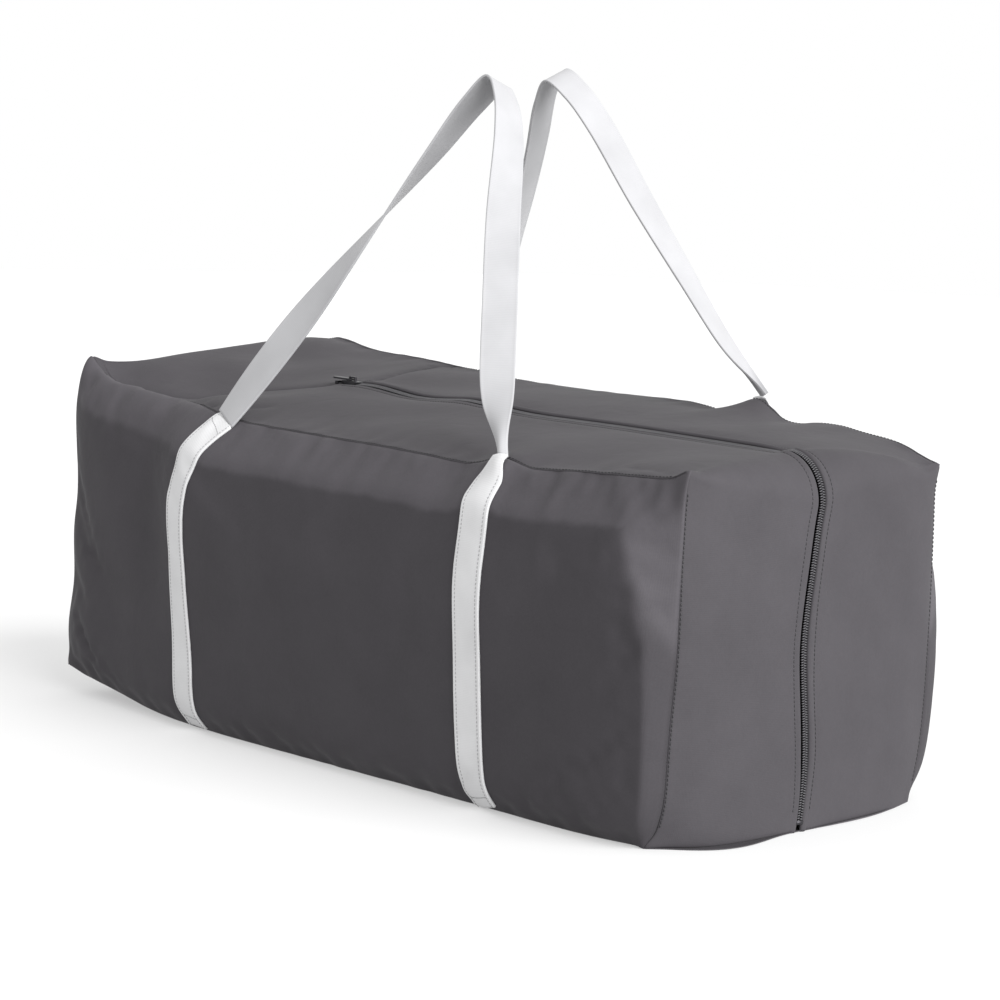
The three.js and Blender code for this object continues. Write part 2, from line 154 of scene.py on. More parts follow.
def noise(points, wavelength, seed, stretch=(1, 1, 1)):
    """Smooth noise of about unit size: seven sine waves in seeded directions, of about that wavelength."""
    rng = np.random.default_rng(seed)
    count = 7
    directions = rng.normal(size=(count, 3)) / np.array(stretch)
    directions /= np.linalg.norm(directions, axis=1)[:, None]
    numbers = 2 * np.pi / (wavelength * rng.uniform(0.7, 1.5, count))
    phases = rng.uniform(0, 2 * np.pi, count)
    waves = np.sin((points @ directions.T) * numbers + phases)
    return waves.sum(-1) / math.sqrt(count / 2)


def distance_to_line(x, y, line):
    """Least distance in plan from each (x, y) to a polyline, one segment at a time."""
    line = np.array(line, float) * MM
    best = np.full(np.shape(x), 1e3)
    for (ax, ay), (bx, by) in zip(line[:-1], line[1:]):
        dx, dy = bx - ax, by - ay
        share = np.clip(((x - ax) * dx + (y - ay) * dy) / (dx * dx + dy * dy), 0, 1)
        best = np.minimum(best, np.hypot(x - ax - share * dx, y - ay - share * dy))
    return best


def unit(vectors):
    """Vectors scaled to length 1."""
    return vectors / np.maximum(np.linalg.norm(vectors, axis=-1, keepdims=True), 1e-12)


def closer_at_ends(count, strength=1.0):
    """Shares from 0 to 1 that come closer together near both ends."""
    share = np.linspace(0, 1, count)
    return lerp(share, 0.5 - 0.5 * np.cos(np.pi * share), strength)


def grid_faces(rows, columns, wrap_rows=False, wrap_columns=False):
    """Quads of a grid of rows by columns of vertices, joined round where asked."""
    i = np.arange(rows if wrap_rows else rows - 1)[:, None]
    j = np.arange(columns if wrap_columns else columns - 1)[None]
    i2, j2 = (i + 1) % rows, (j + 1) % columns
    quads = [i * columns + j, i2 * columns + j, i2 * columns + j2, i * columns + j2]
    return np.stack(quads, -1).reshape(-1, 4)


def mesh_object(name, vertices, faces, uv=None):
    """A mesh object of quads, with an optional UV pair for each vertex, put in the scene."""
    vertices = np.ascontiguousarray(vertices, np.float32).reshape(-1, 3)
    faces = np.ascontiguousarray(faces, np.int32).reshape(-1, 4)
    mesh = bpy.data.meshes.new(name)
    mesh.vertices.add(len(vertices))
    mesh.vertices.foreach_set("co", vertices.ravel())
    mesh.loops.add(faces.size)
    mesh.loops.foreach_set("vertex_index", faces.ravel())
    mesh.polygons.add(len(faces))
    mesh.polygons.foreach_set("loop_start", np.arange(0, faces.size, 4, dtype=np.int32))
    mesh.update(calc_edges=True)
    mesh.validate()
    mesh.polygons.foreach_set("use_smooth", np.ones(len(mesh.polygons), bool))
    if uv is not None:
        layer = mesh.uv_layers.new(name="cloth")
        uv = np.asarray(uv, np.float32).reshape(-1, 2)
        layer.data.foreach_set("uv", uv[faces.ravel()].ravel())
    made = bpy.data.objects.new(name, mesh)
    bpy.context.scene.collection.objects.link(made)
    return made


# ---- The bag's seams: curves that two panels share ------------------------------------------------
# Heights and offsets are in millimetres against the place along the seam.
FRONT_SEAM_Z = [(-405, 331), (-396, 324), (-384, 317), (-364, 310), (-327, 305), (-286, 302), (-245, 301),
                (-186, 298), (-150, 293), (-118, 291), (-6, 288), (134, 283), (180, 285), (204, 291),
                (228, 286), (265, 286), (340, 289), (391, 291), (405, 292)]
BACK_SEAM_Z = [(-405, 350), (-384, 353), (-336, 346), (-265, 340), (-178, 333), (-114, 327), (-47, 324),
               (59, 322), (150, 318.5), (180, 318.5), (206, 330), (230, 317.5), (287, 314), (331, 309),
               (375, 300), (400, 286)]
# Past the left handle the seam is drawn in behind a rolled lip of the front cloth.
FRONT_SEAM_Y = [(-405, -137), (-380, -134), (-340, -132), (-290, -131), (-240, -134), (-205, -147),
                (-180, -154), (-150, -155), (0, -155), (405, -155)]
RIDGE_Z = [(-137, 331), (-118, 330), (-87, 330), (-33, 336), (25, 342), (72, 347), (121, 351),
           (155, 350)]
FRONT_RIGHT_X = [(0, 374), (32, 388), (69, 394), (109, 398), (150, 402), (213, 403), (292, 405)]
FRONT_RIGHT_Y = [(0, -148), (60, -153), (292, -154)]
BACK_RIGHT_X = [(0, 394), (30, 397), (80, 400), (286, 400)]
BACK_RIGHT_Y = [(0, 150), (46, 156), (120, 158), (286, 158)]
FRONT_LEFT_X = [(0, -417), (24, -420), (65, -425), (112, -414), (169, -411), (194, -406), (245, -407),
                (286, -411), (310, -409), (331, -405)]
FRONT_LEFT_Y = [(24, -148), (120, -152), (286, -153), (308, -150), (322, -144), (331, -137)]
BACK_LEFT_X = [(0, -398), (60, -410), (150, -402), (240, -409), (300, -404), (350, -405)]
BOTTOM_FRONT_Y = [(-418, -148), (-390, -151), (-310, -152), (-225, -155), (-50, -157), (215, -157), (330, -155),
                  (374, -148)]
BOTTOM_FRONT_Z = [(-418, 24), (-397, 21), (-338, 13), (-288, 5), (-225, 1), (-150, 0), (374, 1)]
BOTTOM_BACK_Y = [(-398, 146), (-200, 152), (200, 152), (394, 150)]
BOTTOM_RIGHT_X = [(-148, 374), (-122, 401), (-30, 409), (7, 409), (92, 408), (150, 394)]
BOTTOM_LEFT_X = [(-148, -418), (-100, -404), (0, -400), (146, -398)]
# How far the zip wanders to the front on its way down the end, against height.
ZIP_WANDER_Y = [(0, -11), (39, -8), (82, -11), (121, -16), (152, -18), (179, -16), (220, -10), (253, -5),
                (275, -1), (300, 0)]

RIGHT_X = 405 * MM
# Front and back: where the top seam ends along the bag, and how high the zipped end's corner seam climbs.
TOP_END_X = {-1: RIGHT_X, 1: 400 * MM}
CORNER_TOP_Z = {-1: 292 * MM, 1: 286 * MM}


def points(x, y, z):
    """Three arrays stacked into one array of points."""
    return np.stack(np.broadcast_arrays(x, y, z), -1).astype(float)


def top_seam(share, side):
    """Along the top from the slack end to the zipped end, at a height from the seam's spline."""
    x = lerp(-RIGHT_X, TOP_END_X[side], share)
    if side < 0:
        return points(x, spline_mm(x, FRONT_SEAM_Y), spline_mm(x, FRONT_SEAM_Z))
    return points(x, SEAM_Y + 3 * MM * smooth(x, 0.3, 0.4), spline_mm(x, BACK_SEAM_Z))


def right_seam(share, side):
    """Up the zipped end's corner: place along the bag and across it, each from a spline over the height."""
    z = share * CORNER_TOP_Z[side]
    across, along = (FRONT_RIGHT_Y, FRONT_RIGHT_X) if side < 0 else (BACK_RIGHT_Y, BACK_RIGHT_X)
    return points(spline_mm(z, along), spline_mm(z, across), z)


def left_seam(share, side):
    """Up the slack end's corner, wandering with the folds."""
    low, high = (24 * MM, 331 * MM) if side < 0 else (0.0, 350 * MM)
    z = lerp(low, high, share)
    x = spline_mm(z, FRONT_LEFT_X if side < 0 else BACK_LEFT_X)
    y = spline_mm(z, FRONT_LEFT_Y) if side < 0 else lerp(146 * MM, 153 * MM, smooth(share, 0, 0.5))
    return points(x, y, z)


def bottom_seam(share, side):
    """Along the floor, and lifted off it at the slack front corner."""
    if side < 0:
        x = lerp(-418 * MM, 374 * MM, share)
        return points(x, spline_mm(x, BOTTOM_FRONT_Y), spline_mm(x, BOTTOM_FRONT_Z))
    x = lerp(-398 * MM, 394 * MM, share)
    return points(x, spline_mm(x, BOTTOM_BACK_Y), 0.0 * x)


def bottom_end_seam(share, end):
    """Across the floor under an end."""
    low, high = (-148, 150) if end > 0 else (-148, 146)
    y = lerp(low * MM, high * MM, share)
    x = spline_mm(y, BOTTOM_RIGHT_X if end > 0 else BOTTOM_LEFT_X)
    z = 0.0 * y if end > 0 else 24 * MM * (1 - smooth(share, 0, 0.3))
    return points(x, y, z)


def ridge_seam(share):
    """Across the top of the slack end, climbing from the front corner's ear to the back."""
    y = lerp(-137 * MM, SEAM_Y, share)
    return points(-RIGHT_X + 0 * y, y, spline_mm(y, RIDGE_Z))


def coons(u, v, low, high, near, far):
    """A surface between four edge curves: both rulings added, less the one through the four corners."""
    u3, v3 = u[..., None], v[..., None]
    corner = [low(np.array(0.0)), low(np.array(1.0)), high(np.array(0.0)), high(np.array(1.0))]
    across = lerp(low(u), high(u), v3)
    along = lerp(near(v), far(v), u3)
    return across + along - lerp(lerp(corner[0], corner[1], u3), lerp(corner[2], corner[3], u3), v3)


def soft_corner(distance, reach, sharpness=3):
    """Climbs straight from 0 and bends over to 1 near reach: t over the root of one plus t to a power."""
    t = np.maximum(distance, 0) / reach
    return t / (1 + t**sharpness) ** (1 / sharpness)


# ---- Ears: the pinched corners where three panels meet --------------------------------------------
# Each has its corner, how far it is pulled out, and the radius of the pull, in millimetres.
EARS = [
    ((405, -154, 292), (3, -1, 7), 13), ((-405, -137, 331), (-1, 0, 4), 10),
    ((374, -148, 1), (-2, -5, 0), 9), ((400, 158, 286), (2, 3, 2), 12),
    ((-405, 153, 350), (0, 0, -3), 22), ((-418, -148, 24), (-4, -2, 2), 14),
]


def pull_ears(where):
    """Every point near a pinched corner is drawn out with it, by a bell-shaped share of the pull."""
    moved = where.copy()
    for centre, pull, radius in EARS:
        away = np.linalg.norm(where - np.array(centre) * MM, axis=-1, keepdims=True)
        moved += np.array(pull) * MM * np.exp(-((away / (radius * MM)) ** 2))
    return moved


# ---- Front and back panels -------------------------------------------------------------------------
def side_panel(u, v, side):
    """A cloth hung on its four seams and swollen outward: the swelling climbs straight from each seam and
    bends over into a nearly flat face. Small gathers fade away below the top seam."""
    base = coons(u, v, lambda s: bottom_seam(s, side), lambda s: top_seam(s, side),
                 lambda s: left_seam(s, side), lambda s: right_seam(s, side))
    x, z = base[..., 0], base[..., 2]
    height = 300 * MM
    above_base, below_top = v * height, (1 - v) * height
    swell = lerp(20, 28, smooth(v, 0.15, 0.8)) * MM
    top_reach = lerp(31, 42, smooth(x, 0.15, 0.38)) * MM
    end_reach = spline(v, [(0, 6), (0.35, 7), (0.5, 10), (0.65, 18), (0.8, 34), (1, 58)]) * MM
    swell *= soft_corner(above_base, 26 * MM, 3.5) * soft_corner(below_top, top_reach, 8)
    swell *= soft_corner(u * 0.81, 45 * MM, 2) * soft_corner((1 - u) * 0.79, end_reach, 8)
    slack = 1 - smooth(x, -0.34, -0.12)
    swell *= 1 - 0.22 * slack
    inner = soft_corner(above_base, 60 * MM) * soft_corner(np.minimum(u, 1 - u) * 0.8, 60 * MM)
    flat = points(x, side * SEAM_Y, z)
    waves = 1.1 * noise(flat, 260 * MM, 11 + side) + 0.35 * noise(flat, 90 * MM, 21 + side)
    waves += slack * (2.2 * noise(flat, 120 * MM, 31 + side, (1, 1, 2.5)))
    # Each set of gathers: its size, how far it runs with the height, wavelength, seed, seam and fading.
    gathers = sum(
        size * noise(points(x, 0 * x, run * z), wavelength * MM, seed + side) * np.exp(-away / (fading * MM))
        for size, run, wavelength, seed, away, fading in (
            (1, 0.35, 34, 41, below_top, 20), (0.6, 0.5, 15, 45, below_top, 12),
            (0.5, 0.5, 24, 51, above_base, 14)))
    edge = soft_corner(below_top, 5 * MM) * soft_corner(above_base, 5 * MM)
    swell += MM * (waves * inner * (1 - np.exp(-below_top / (30 * MM))) + 2.0 * gathers * edge)
    base[..., 1] += side * swell
    if side < 0:
        rolled = slack * lerp(0.55, 1, smooth(x, -0.41, -0.37)) * (1 - smooth(x, -0.23, -0.185))
        from_seam = below_top / (17 * MM)
        base[..., 2] += 17 * MM * rolled * from_seam * np.exp(1 - from_seam)
        base[..., 1] -= 2.5 * MM * np.exp(-(((x - 0.2) / 0.03) ** 2) - (below_top / 0.05) ** 2)
    return pull_ears(base)


# ---- Top and zipped end: two strips with the zip between them ---------------------------------------
TOP_HEIGHTS = [
    (-172, 0, 322), (-103, 0, 318), (-75, 0, 316), (0, 0, 317), (60, 0, 313), (120, 0, 311), (240, 0, 308),
    (330, 0, 306), (367, 0, 305), (-150, -60, 314), (-103, -60, 311), (-103, -110, 300), (0, -60, 306),
    (0, -115, 298), (110, -70, 303), (110, -120, 294),
    (240, -70, 302), (240, -120, 295), (340, -70, 301), (340, -120, 296),
    (-60, 60, 322), (-60, 110, 325), (60, 60, 319), (60, 115, 322), (170, 60, 316), (170, 115, 319),
    (270, 60, 313), (270, 110, 315), (350, 60, 308), (350, 110, 306),
    (-225, -20, 316), (-265, -50, 308), (-288, -90, 302), (-320, -116, 304), (-385, -115, 321),
    (-215, -70, 308), (-240, -110, 308), (-200, -120, 304),
    (-300, 0, 324), (-300, 80, 333), (-230, 60, 327), (-225, 110, 332), (-350, -60, 319), (-350, 40, 335),
    (-350, 110, 343), (-380, -90, 325), (-330, -100, 309), (-165, 60, 329), (-160, 110, 332),
    (-130, 50, 325), (-110, 110, 329),
]
# A pleat sewn across the top behind the zip's start, as (x, y).
PLEAT = [(-166, 9), (-176, 60), (-190, 105), (-203, 132), (-192, 152)]
# Folds pressed into the top: the route, how deep, and how wide.
TOP_FOLDS = [
    ([(-178, 0), (-190, -4), (-225, -22), (-265, -52), (-288, -88), (-312, -110), (-345, -122), (-398, -128)],
     4.5, 6),
    (PLEAT, 4.5, 5),
    ([(-205, -140), (-240, -133), (-285, -130)], 5.0, 4),
    ([(-186, -152), (-176, -128), (-160, -112)], 2.0, 5),
    ([(382, -150), (360, -140), (330, -138)], 1.2, 7),
]
top_plate = thin_plate(
    TOP_HEIGHTS
    + [(x, -153, z) for x, z in FRONT_SEAM_Z[8:-1]]
    + [(-245, -132, 301), (-286, -130, 302), (-327, -131, 305), (-364, -133, 310)]
    + [(x, 153, z) for x, z in BACK_SEAM_Z[:-1]]
    + [(-405, y, z) for y, z in RIDGE_Z]
)


def top_height(x, y):
    """Height of the top: a thin plate through a few heights, pulled onto the seams it is sewn to, with
    sharp folds pressed in and soft waves over the slack end."""
    z = top_plate(x, y)
    front_y = spline_mm(x, FRONT_SEAM_Y)
    side_share = np.clip(np.where(y < 0, y / front_y, y / SEAM_Y), 0, 1) ** 2
    front_gap = spline_mm(x, FRONT_SEAM_Z) - top_plate(x, front_y)
    back_gap = spline_mm(x, BACK_SEAM_Z) - top_plate(x, np.full_like(x, SEAM_Y))
    z = z + side_share * np.where(y < 0, front_gap, back_gap)
    from_ridge = x + RIGHT_X
    ridge_x = np.full_like(x, -RIGHT_X)
    ridge_share = np.clip(np.where(y < 0, y / (-137 * MM), y / SEAM_Y), 0, 1) ** 2
    ridge_now = top_plate(ridge_x, y) + ridge_share * (
        np.where(y < 0, 331 * MM, 350 * MM) - top_plate(ridge_x, np.where(y < 0, -137 * MM, SEAM_Y)))
    z = z + (spline_mm(y, RIDGE_Z) - ridge_now) * np.exp(-from_ridge / (40 * MM))
    from_seam = np.where(y < 0, y - front_y, SEAM_Y - y)
    inside = soft_corner(from_seam, 9 * MM) * soft_corner(from_ridge, 12 * MM)
    off_zip = lerp(1, soft_corner(np.abs(y) - 16 * MM, 14 * MM), smooth(x, -0.19, -0.17))
    for route, depth, width in TOP_FOLDS:
        z = z - depth * MM * np.exp(-distance_to_line(x, y, route) / (width * MM)) * inside * off_zip
    flat = points(x, y, 0 * x)
    slack = 1 - smooth(x, -0.3, -0.1)
    waves = 0.8 * noise(flat, 190 * MM, 61) + slack * 1.6 * noise(flat, 110 * MM, 62)
    gathers = noise(points(x, 0.4 * y, 0 * x), 30 * MM, 63) * np.exp(-np.maximum(from_seam, 0) / (16 * MM))
    return z + MM * inside * off_zip * (waves + 1.3 * gathers)


# Half the gap between the strips' lips along the top and down the end, a strip's width, and the shares of a
# strip's length at which the top ends and the bend ends.
LIP_Y, END_LIP_Y, STRIP_WIDTH = 6.6 * MM, 4.0 * MM, 0.15
TOP_SHARE, BEND_SHARE = 0.70, 0.765
# How far the zip's soft lips and coil rise and sink about its straight line, along the top.
ZIP_WAVE = [(-172, 0), (-142, 1.5), (-122, 0.5), (-103, -1.2), (-84, -2.6), (-65, -2.6), (-39, -0.8), (-6, 1.8),
            (12, 1.3), (50, -1.2), (127, -1.4), (175, -0.5), (270, 0), (410, 0)]
# Left of the zip the two strips are sewn together along this line, which is also a sharp crease.
JOIN_Y = [(-405, -128), (-345, -122), (-312, -110), (-288, -88), (-265, -52), (-225, -22), (-190, -4),
          (-178, 0)]


def end_x(t, z, side):
    """The zipped end's place along the bag: the corner seam's, swelling quickly to the zip's."""
    seam_x = right_seam(np.clip(z / CORNER_TOP_Z[side], 0, 1), side)[..., 0]
    zip_x = lerp(409, 412, smooth(z, 0, 0.12)) * MM
    return lerp(seam_x, zip_x, soft_corner(t * STRIP_WIDTH, 45 * MM, 2.2))


def zip_height(x):
    """The middle of the zip's chain along the top, a straight line that falls a little to the end."""
    return ZIP_Z_AT_SLIDER + ZIP_SLOPE * (x - SLIDER_X)


def zip_waved(x):
    """The zip's line with its soft waves."""
    return zip_height(x) + spline_mm(x, ZIP_WAVE)


def strip(s, t, side):
    """A strip from its outer seam (t 0) to its lip at the zip (t 1). s runs along the top, round a bend whose
    radius grows towards the zip, and down the end to the floor."""
    s, t = np.broadcast_arrays(np.asarray(s, float), np.asarray(t, float))
    radius = lerp(4, 40, t**0.8) * MM
    bend_top_z = 262 * MM
    outer_x = end_x(t, np.full_like(t, bend_top_z), side)
    bend_x = outer_x - radius
    lip_y = side * lerp(LIP_Y, END_LIP_Y, smooth(s, TOP_SHARE - 0.03, TOP_SHARE + 0.02))
    lip_y = lip_y * (1 - 0.5 * smooth(s, 0.94, 0.985))

    along = np.clip(s / TOP_SHARE, 0, 1)
    x = lerp(-RIGHT_X + 0 * s, bend_x, along)
    seam_y = top_seam((x + RIGHT_X) / (RIGHT_X + TOP_END_X[side]), side)[..., 1]
    open_share = smooth(x, -0.197, -0.18)
    y = lerp(seam_y, lerp(spline_mm(x, JOIN_Y), lip_y, open_share), t)
    z = top_height(x, y)
    lip_z = zip_waved(x) + (-0.9 if side < 0 else 1.9) * MM * (1 - smooth(x, 0.33, 0.37))
    z = lerp(z, lip_z, open_share * np.exp(-((np.abs(y) / (18 * MM)) ** 2)))

    angle = np.clip((s - TOP_SHARE) / (BEND_SHARE - TOP_SHARE), 0, 1) * math.pi / 2
    bent = s > TOP_SHARE
    bend_y = lerp(seam_y, lip_y, t)
    bend_z = top_height(bend_x, bend_y)
    x = np.where(bent, bend_x + radius * np.sin(angle), x)
    z = np.where(bent, bend_z - radius + radius * np.cos(angle), z)

    down = np.clip((s - BEND_SHARE) / (1 - BEND_SHARE), 0, 1)
    under = s > BEND_SHARE
    end_z = lerp(bend_z - radius, 0 * z, down)
    wander = spline_mm(end_z, ZIP_WANDER_Y) * smooth(np.maximum(s, TOP_SHARE), TOP_SHARE, BEND_SHARE)
    seam_share = np.clip(end_z / CORNER_TOP_Z[side], 0, 1)
    end_seam_y = right_seam(seam_share, side)[..., 1]
    turned = smooth(s, TOP_SHARE, BEND_SHARE)
    y = np.where(bent, lerp(lerp(seam_y, end_seam_y, turned), lip_y + wander, t), y)
    settled_x = end_x(t, end_z, side) + (outer_x - end_x(t, bend_z - radius, side)) * (1 - down) ** 3
    x = np.where(under, settled_x, x)
    z = np.where(under, end_z, z)

    # The end rolls under where it meets the floor.
    floor_x = bottom_end_seam(np.clip((y + 0.148) / 0.298, 0, 1), 1)[..., 0]
    roll = np.where(under, 1 - soft_corner(z, 16 * MM, 2.5), 0)
    x = lerp(x, np.minimum(x, floor_x), roll * (t > 0) * smooth(t, 0, 0.08))

    # Soft waves and the rolled lips, outward from whichever way the strip faces.
    facing = np.stack([np.sin(angle), 0 * angle, np.cos(angle)], -1)
    flat = points(0 * y, y, z)
    edge = (soft_corner(t * STRIP_WIDTH, 10 * MM) * soft_corner((1 - t) * STRIP_WIDTH, 14 * MM)
            * soft_corner(z, 20 * MM))
    waves = (0.9 * noise(flat, 150 * MM, 71 + side) + 0.4 * noise(flat, 60 * MM, 73 + side)) * edge * turned
    fold = noise(points(0 * y, y, 0 * y), 45 * MM, 77 + side) * np.exp(-(((s - 0.735) / 0.022) ** 2)) * edge
    from_lip = (1 - t) * (SEAM_Y - LIP_Y)
    lip = (1.0 if side < 0 else 1.6) * np.exp(-(((from_lip - 3 * MM) / (3.2 * MM)) ** 2))
    lip = lip - 1.6 * np.exp(-from_lip / (1.2 * MM)) - 0.5 * np.exp(-(((from_lip - 8 * MM) / (1.6 * MM)) ** 2))
    rise = waves + 1.3 * fold + lip * np.where(bent, 1, open_share)
    return pull_ears(points(x, y, z) + facing * rise[..., None] * MM)


def left_end(u, v):
    """The slack end: hung on its four seams, puffed out, with soft diagonal folds from its corners."""
    base = coons(u, v, lambda s: bottom_end_seam(s, -1), ridge_seam,
                 lambda s: left_seam(s, -1), lambda s: left_seam(s, 1))
    width, height = 0.3 * np.minimum(u, 1 - u), 0.33 * np.minimum(v, 1 - v)
    puff = 9 * soft_corner(width, 40 * MM, 2) * soft_corner(height, 40 * MM, 2)
    flat = points(0 * u, base[..., 1], base[..., 2])
    inner = soft_corner(width, 25 * MM) * soft_corner(height, 25 * MM)
    tilt = points(0 * u, base[..., 1] + 0.6 * base[..., 2], 0.35 * base[..., 2])
    puff = puff + inner * (2.4 * noise(tilt, 130 * MM, 81) + 0.8 * noise(flat, 60 * MM, 82))
    base[..., 0] -= puff * MM
    return pull_ears(base)


def bottom(u, v):
    """The base: flat on the floor inside its four seams, and drawn up at the slack front corner."""
    base = coons(u, v, lambda s: bottom_seam(s, -1), lambda s: bottom_seam(s, 1),
                 lambda s: bottom_end_seam(s, -1), lambda s: bottom_end_seam(s, 1))
    width, length = 0.3 * np.minimum(v, 1 - v), 0.8 * np.minimum(u, 1 - u)
    settled = soft_corner(width, 30 * MM) * soft_corner(length, 40 * MM)
    base[..., 2] = np.maximum(base[..., 2] * (1 - 0.9 * settled), 0)
    return pull_ears(base)


# ---- Panels as cloth -------------------------------------------------------------------------------
def resample(grid, u, v):
    """A coarse grid of vectors read at shares u and v: a Catmull-Rom spline in both directions."""
    rows, columns = grid.shape[:2]

    def weights(share, count):
        place = np.clip(share, 0, 1) * (count - 1)
        first = np.minimum(np.floor(place).astype(int), count - 2)
        f = place - first
        four = [(-f + 2 * f**2 - f**3) / 2, (2 - 5 * f**2 + 3 * f**3) / 2,
                (f + 4 * f**2 - 3 * f**3) / 2, (f**3 - f**2) / 2]
        return [np.clip(first + k - 1, 0, count - 1) for k in range(4)], four

    i, wi = weights(u, rows)
    j, wj = weights(v, columns)
    return sum((wi[a] * wj[b])[..., None] * grid[i[a], j[b]] for a in range(4) for b in range(4))


class Panel:
    """One cut panel of the bag: its hung shape, which way is out, and how its cloth settled."""

    def __init__(self, name, hang, facing, length, height, open_far=False):
        self.name, self.hang, self.facing = name, hang, facing
        self.length, self.height, self.open_far = length, height, open_far
        self.settling = np.zeros((2, 2, 3))

    def seam_distance(self, u, v):
        """Metres to the nearest sewn edge. A strip's far edge is its open lip."""
        across = v if self.open_far else np.minimum(v, 1 - v)
        return np.minimum(across * self.height, np.minimum(u, 1 - u) * self.length)

    def hung_normals(self, u, v):
        """Outward normals from small steps along and across."""
        e = 1.5e-3
        along = self.hang(np.clip(u + e, 0, 1), v) - self.hang(np.clip(u - e, 0, 1), v)
        across = self.hang(u, np.clip(v + e, 0, 1)) - self.hang(u, np.clip(v - e, 0, 1))
        return self.facing * unit(np.cross(along, across))

    def at(self, u, v, out=0.0):
        """Points on the finished cloth. Each sewn edge turns in to make the groove of its seam."""
        u, v = np.broadcast_arrays(np.asarray(u, float), np.asarray(v, float))
        normal = self.hung_normals(u, v)
        turn_in = 0.7 * MM * np.exp(-self.seam_distance(u, v) / (1.0 * MM))
        where = self.hang(u, v) + resample(self.settling, u, v) + normal * (out - turn_in)[..., None]
        where[..., 2] = np.maximum(where[..., 2], 0.1 * MM)
        return where

    def settle(self, cap, seed):
        """Lets a coarse copy move as real cloth: pinned along its edges, cut slightly large, with air inside
        and its own weight. What each point moved, up to the cap, is added to the fine surface."""
        columns, rows = int(self.length / 0.011), int(self.height / 0.011)
        u, v = np.meshgrid(np.linspace(0, 1, columns), np.linspace(0, 1, rows), indexing="ij")
        start = self.hang(u, v)
        free = soft_corner(np.minimum(np.minimum(v, 1 - v) * self.height, np.minimum(u, 1 - u) * self.length),
                           22 * MM)
        rng = np.random.default_rng(seed)
        cloth = mesh_object(self.name + "_settling", start, grid_faces(columns, rows)[:, :: int(self.facing)])
        jitter = start + rng.normal(0, 0.15 * MM, start.shape) * free[..., None]
        cloth.data.vertices.foreach_set("co", jitter.astype(np.float32).ravel())
        pins = cloth.vertex_groups.new(name="sewn")
        border = np.flatnonzero(free.ravel() < 1e-6)
        pins.add([int(i) for i in border], 1.0, "REPLACE")
        modifier = cloth.modifiers.new("Cloth", "CLOTH")
        s = modifier.settings
        s.quality, s.mass, s.vertex_group_mass = 6, 0.15, "sewn"
        s.tension_stiffness, s.compression_stiffness, s.shear_stiffness = 25, 25, 8
        s.bending_stiffness, s.air_damping = 0.35, 2.0
        s.shrink_min, s.shrink_max = -0.018, -0.018
        s.use_pressure, s.uniform_pressure_force = True, 1.2
        modifier.collision_settings.use_self_collision = False
        s.effector_weights.gravity = 0.15
        scene = bpy.context.scene
        for frame_number in range(1, 23):
            scene.frame_set(frame_number)
        shape = cloth.evaluated_get(bpy.context.evaluated_depsgraph_get()).data
        co = np.empty(start.size, np.float32)
        shape.vertices.foreach_get("co", co)
        moved = co.reshape(start.shape).astype(float) - start
        scene.frame_set(1)
        mesh = cloth.data
        bpy.data.objects.remove(cloth)
        bpy.data.meshes.remove(mesh)
        size = np.linalg.norm(moved, axis=-1, keepdims=True)
        self.settling = moved / np.maximum(size, 1e-9) * cap * np.tanh(size / cap) * free[..., None]

    def build(self, columns, rows):
        """The fine mesh of the panel, with its cloth's own lengths as UV, and a thickness turned inward."""
        u, v = np.meshgrid(closer_at_ends(columns, 0.45), closer_at_ends(rows, 0.6), indexing="ij")
        faces = grid_faces(columns, rows)[:, :: int(self.facing)]
        made = mesh_object(self.name, self.at(u, v), faces, np.stack([u * self.length, v * self.height], -1))
        wall = made.modifiers.new("Cloth thickness", "SOLIDIFY")
        wall.thickness, wall.offset, wall.use_even_offset = 0.8 * MM, -1, False
        return made


PANELS = {
    "front": Panel("front_cloth", lambda u, v: side_panel(u, v, -1), 1, 0.81, 0.34),
    "back": Panel("back_cloth", lambda u, v: side_panel(u, v, 1), -1, 0.81, 0.37),
    "strip_front": Panel("top_end_cloth_front", lambda u, v: strip(u, v, -1), 1, 1.09, 0.153, True),
    "strip_back": Panel("top_end_cloth_back", lambda u, v: strip(u, v, 1), -1, 1.09, 0.153, True),
    "left_end": Panel("slack_end_cloth", left_end, -1, 0.31, 0.34),
    "bottom": Panel("base_cloth", bottom, -1, 0.81, 0.31),
}


# ---- Threads, ribbons and tubes --------------------------------------------------------------------
def arc_lengths(path):
    """Distance travelled at each point of a path."""
    return np.concatenate([[0.0], np.cumsum(np.linalg.norm(np.diff(path, axis=0), axis=1))])


def even_path(path, count, *others):
    """A path and anything that goes with it, read again at even distances."""
    length = arc_lengths(path)
    wanted = np.linspace(0, length[-1], count)
    read = [np.stack([np.interp(wanted, length, column) for column in line.T], -1) for line in (path, *others)]
    return read[0] if len(read) == 1 else read


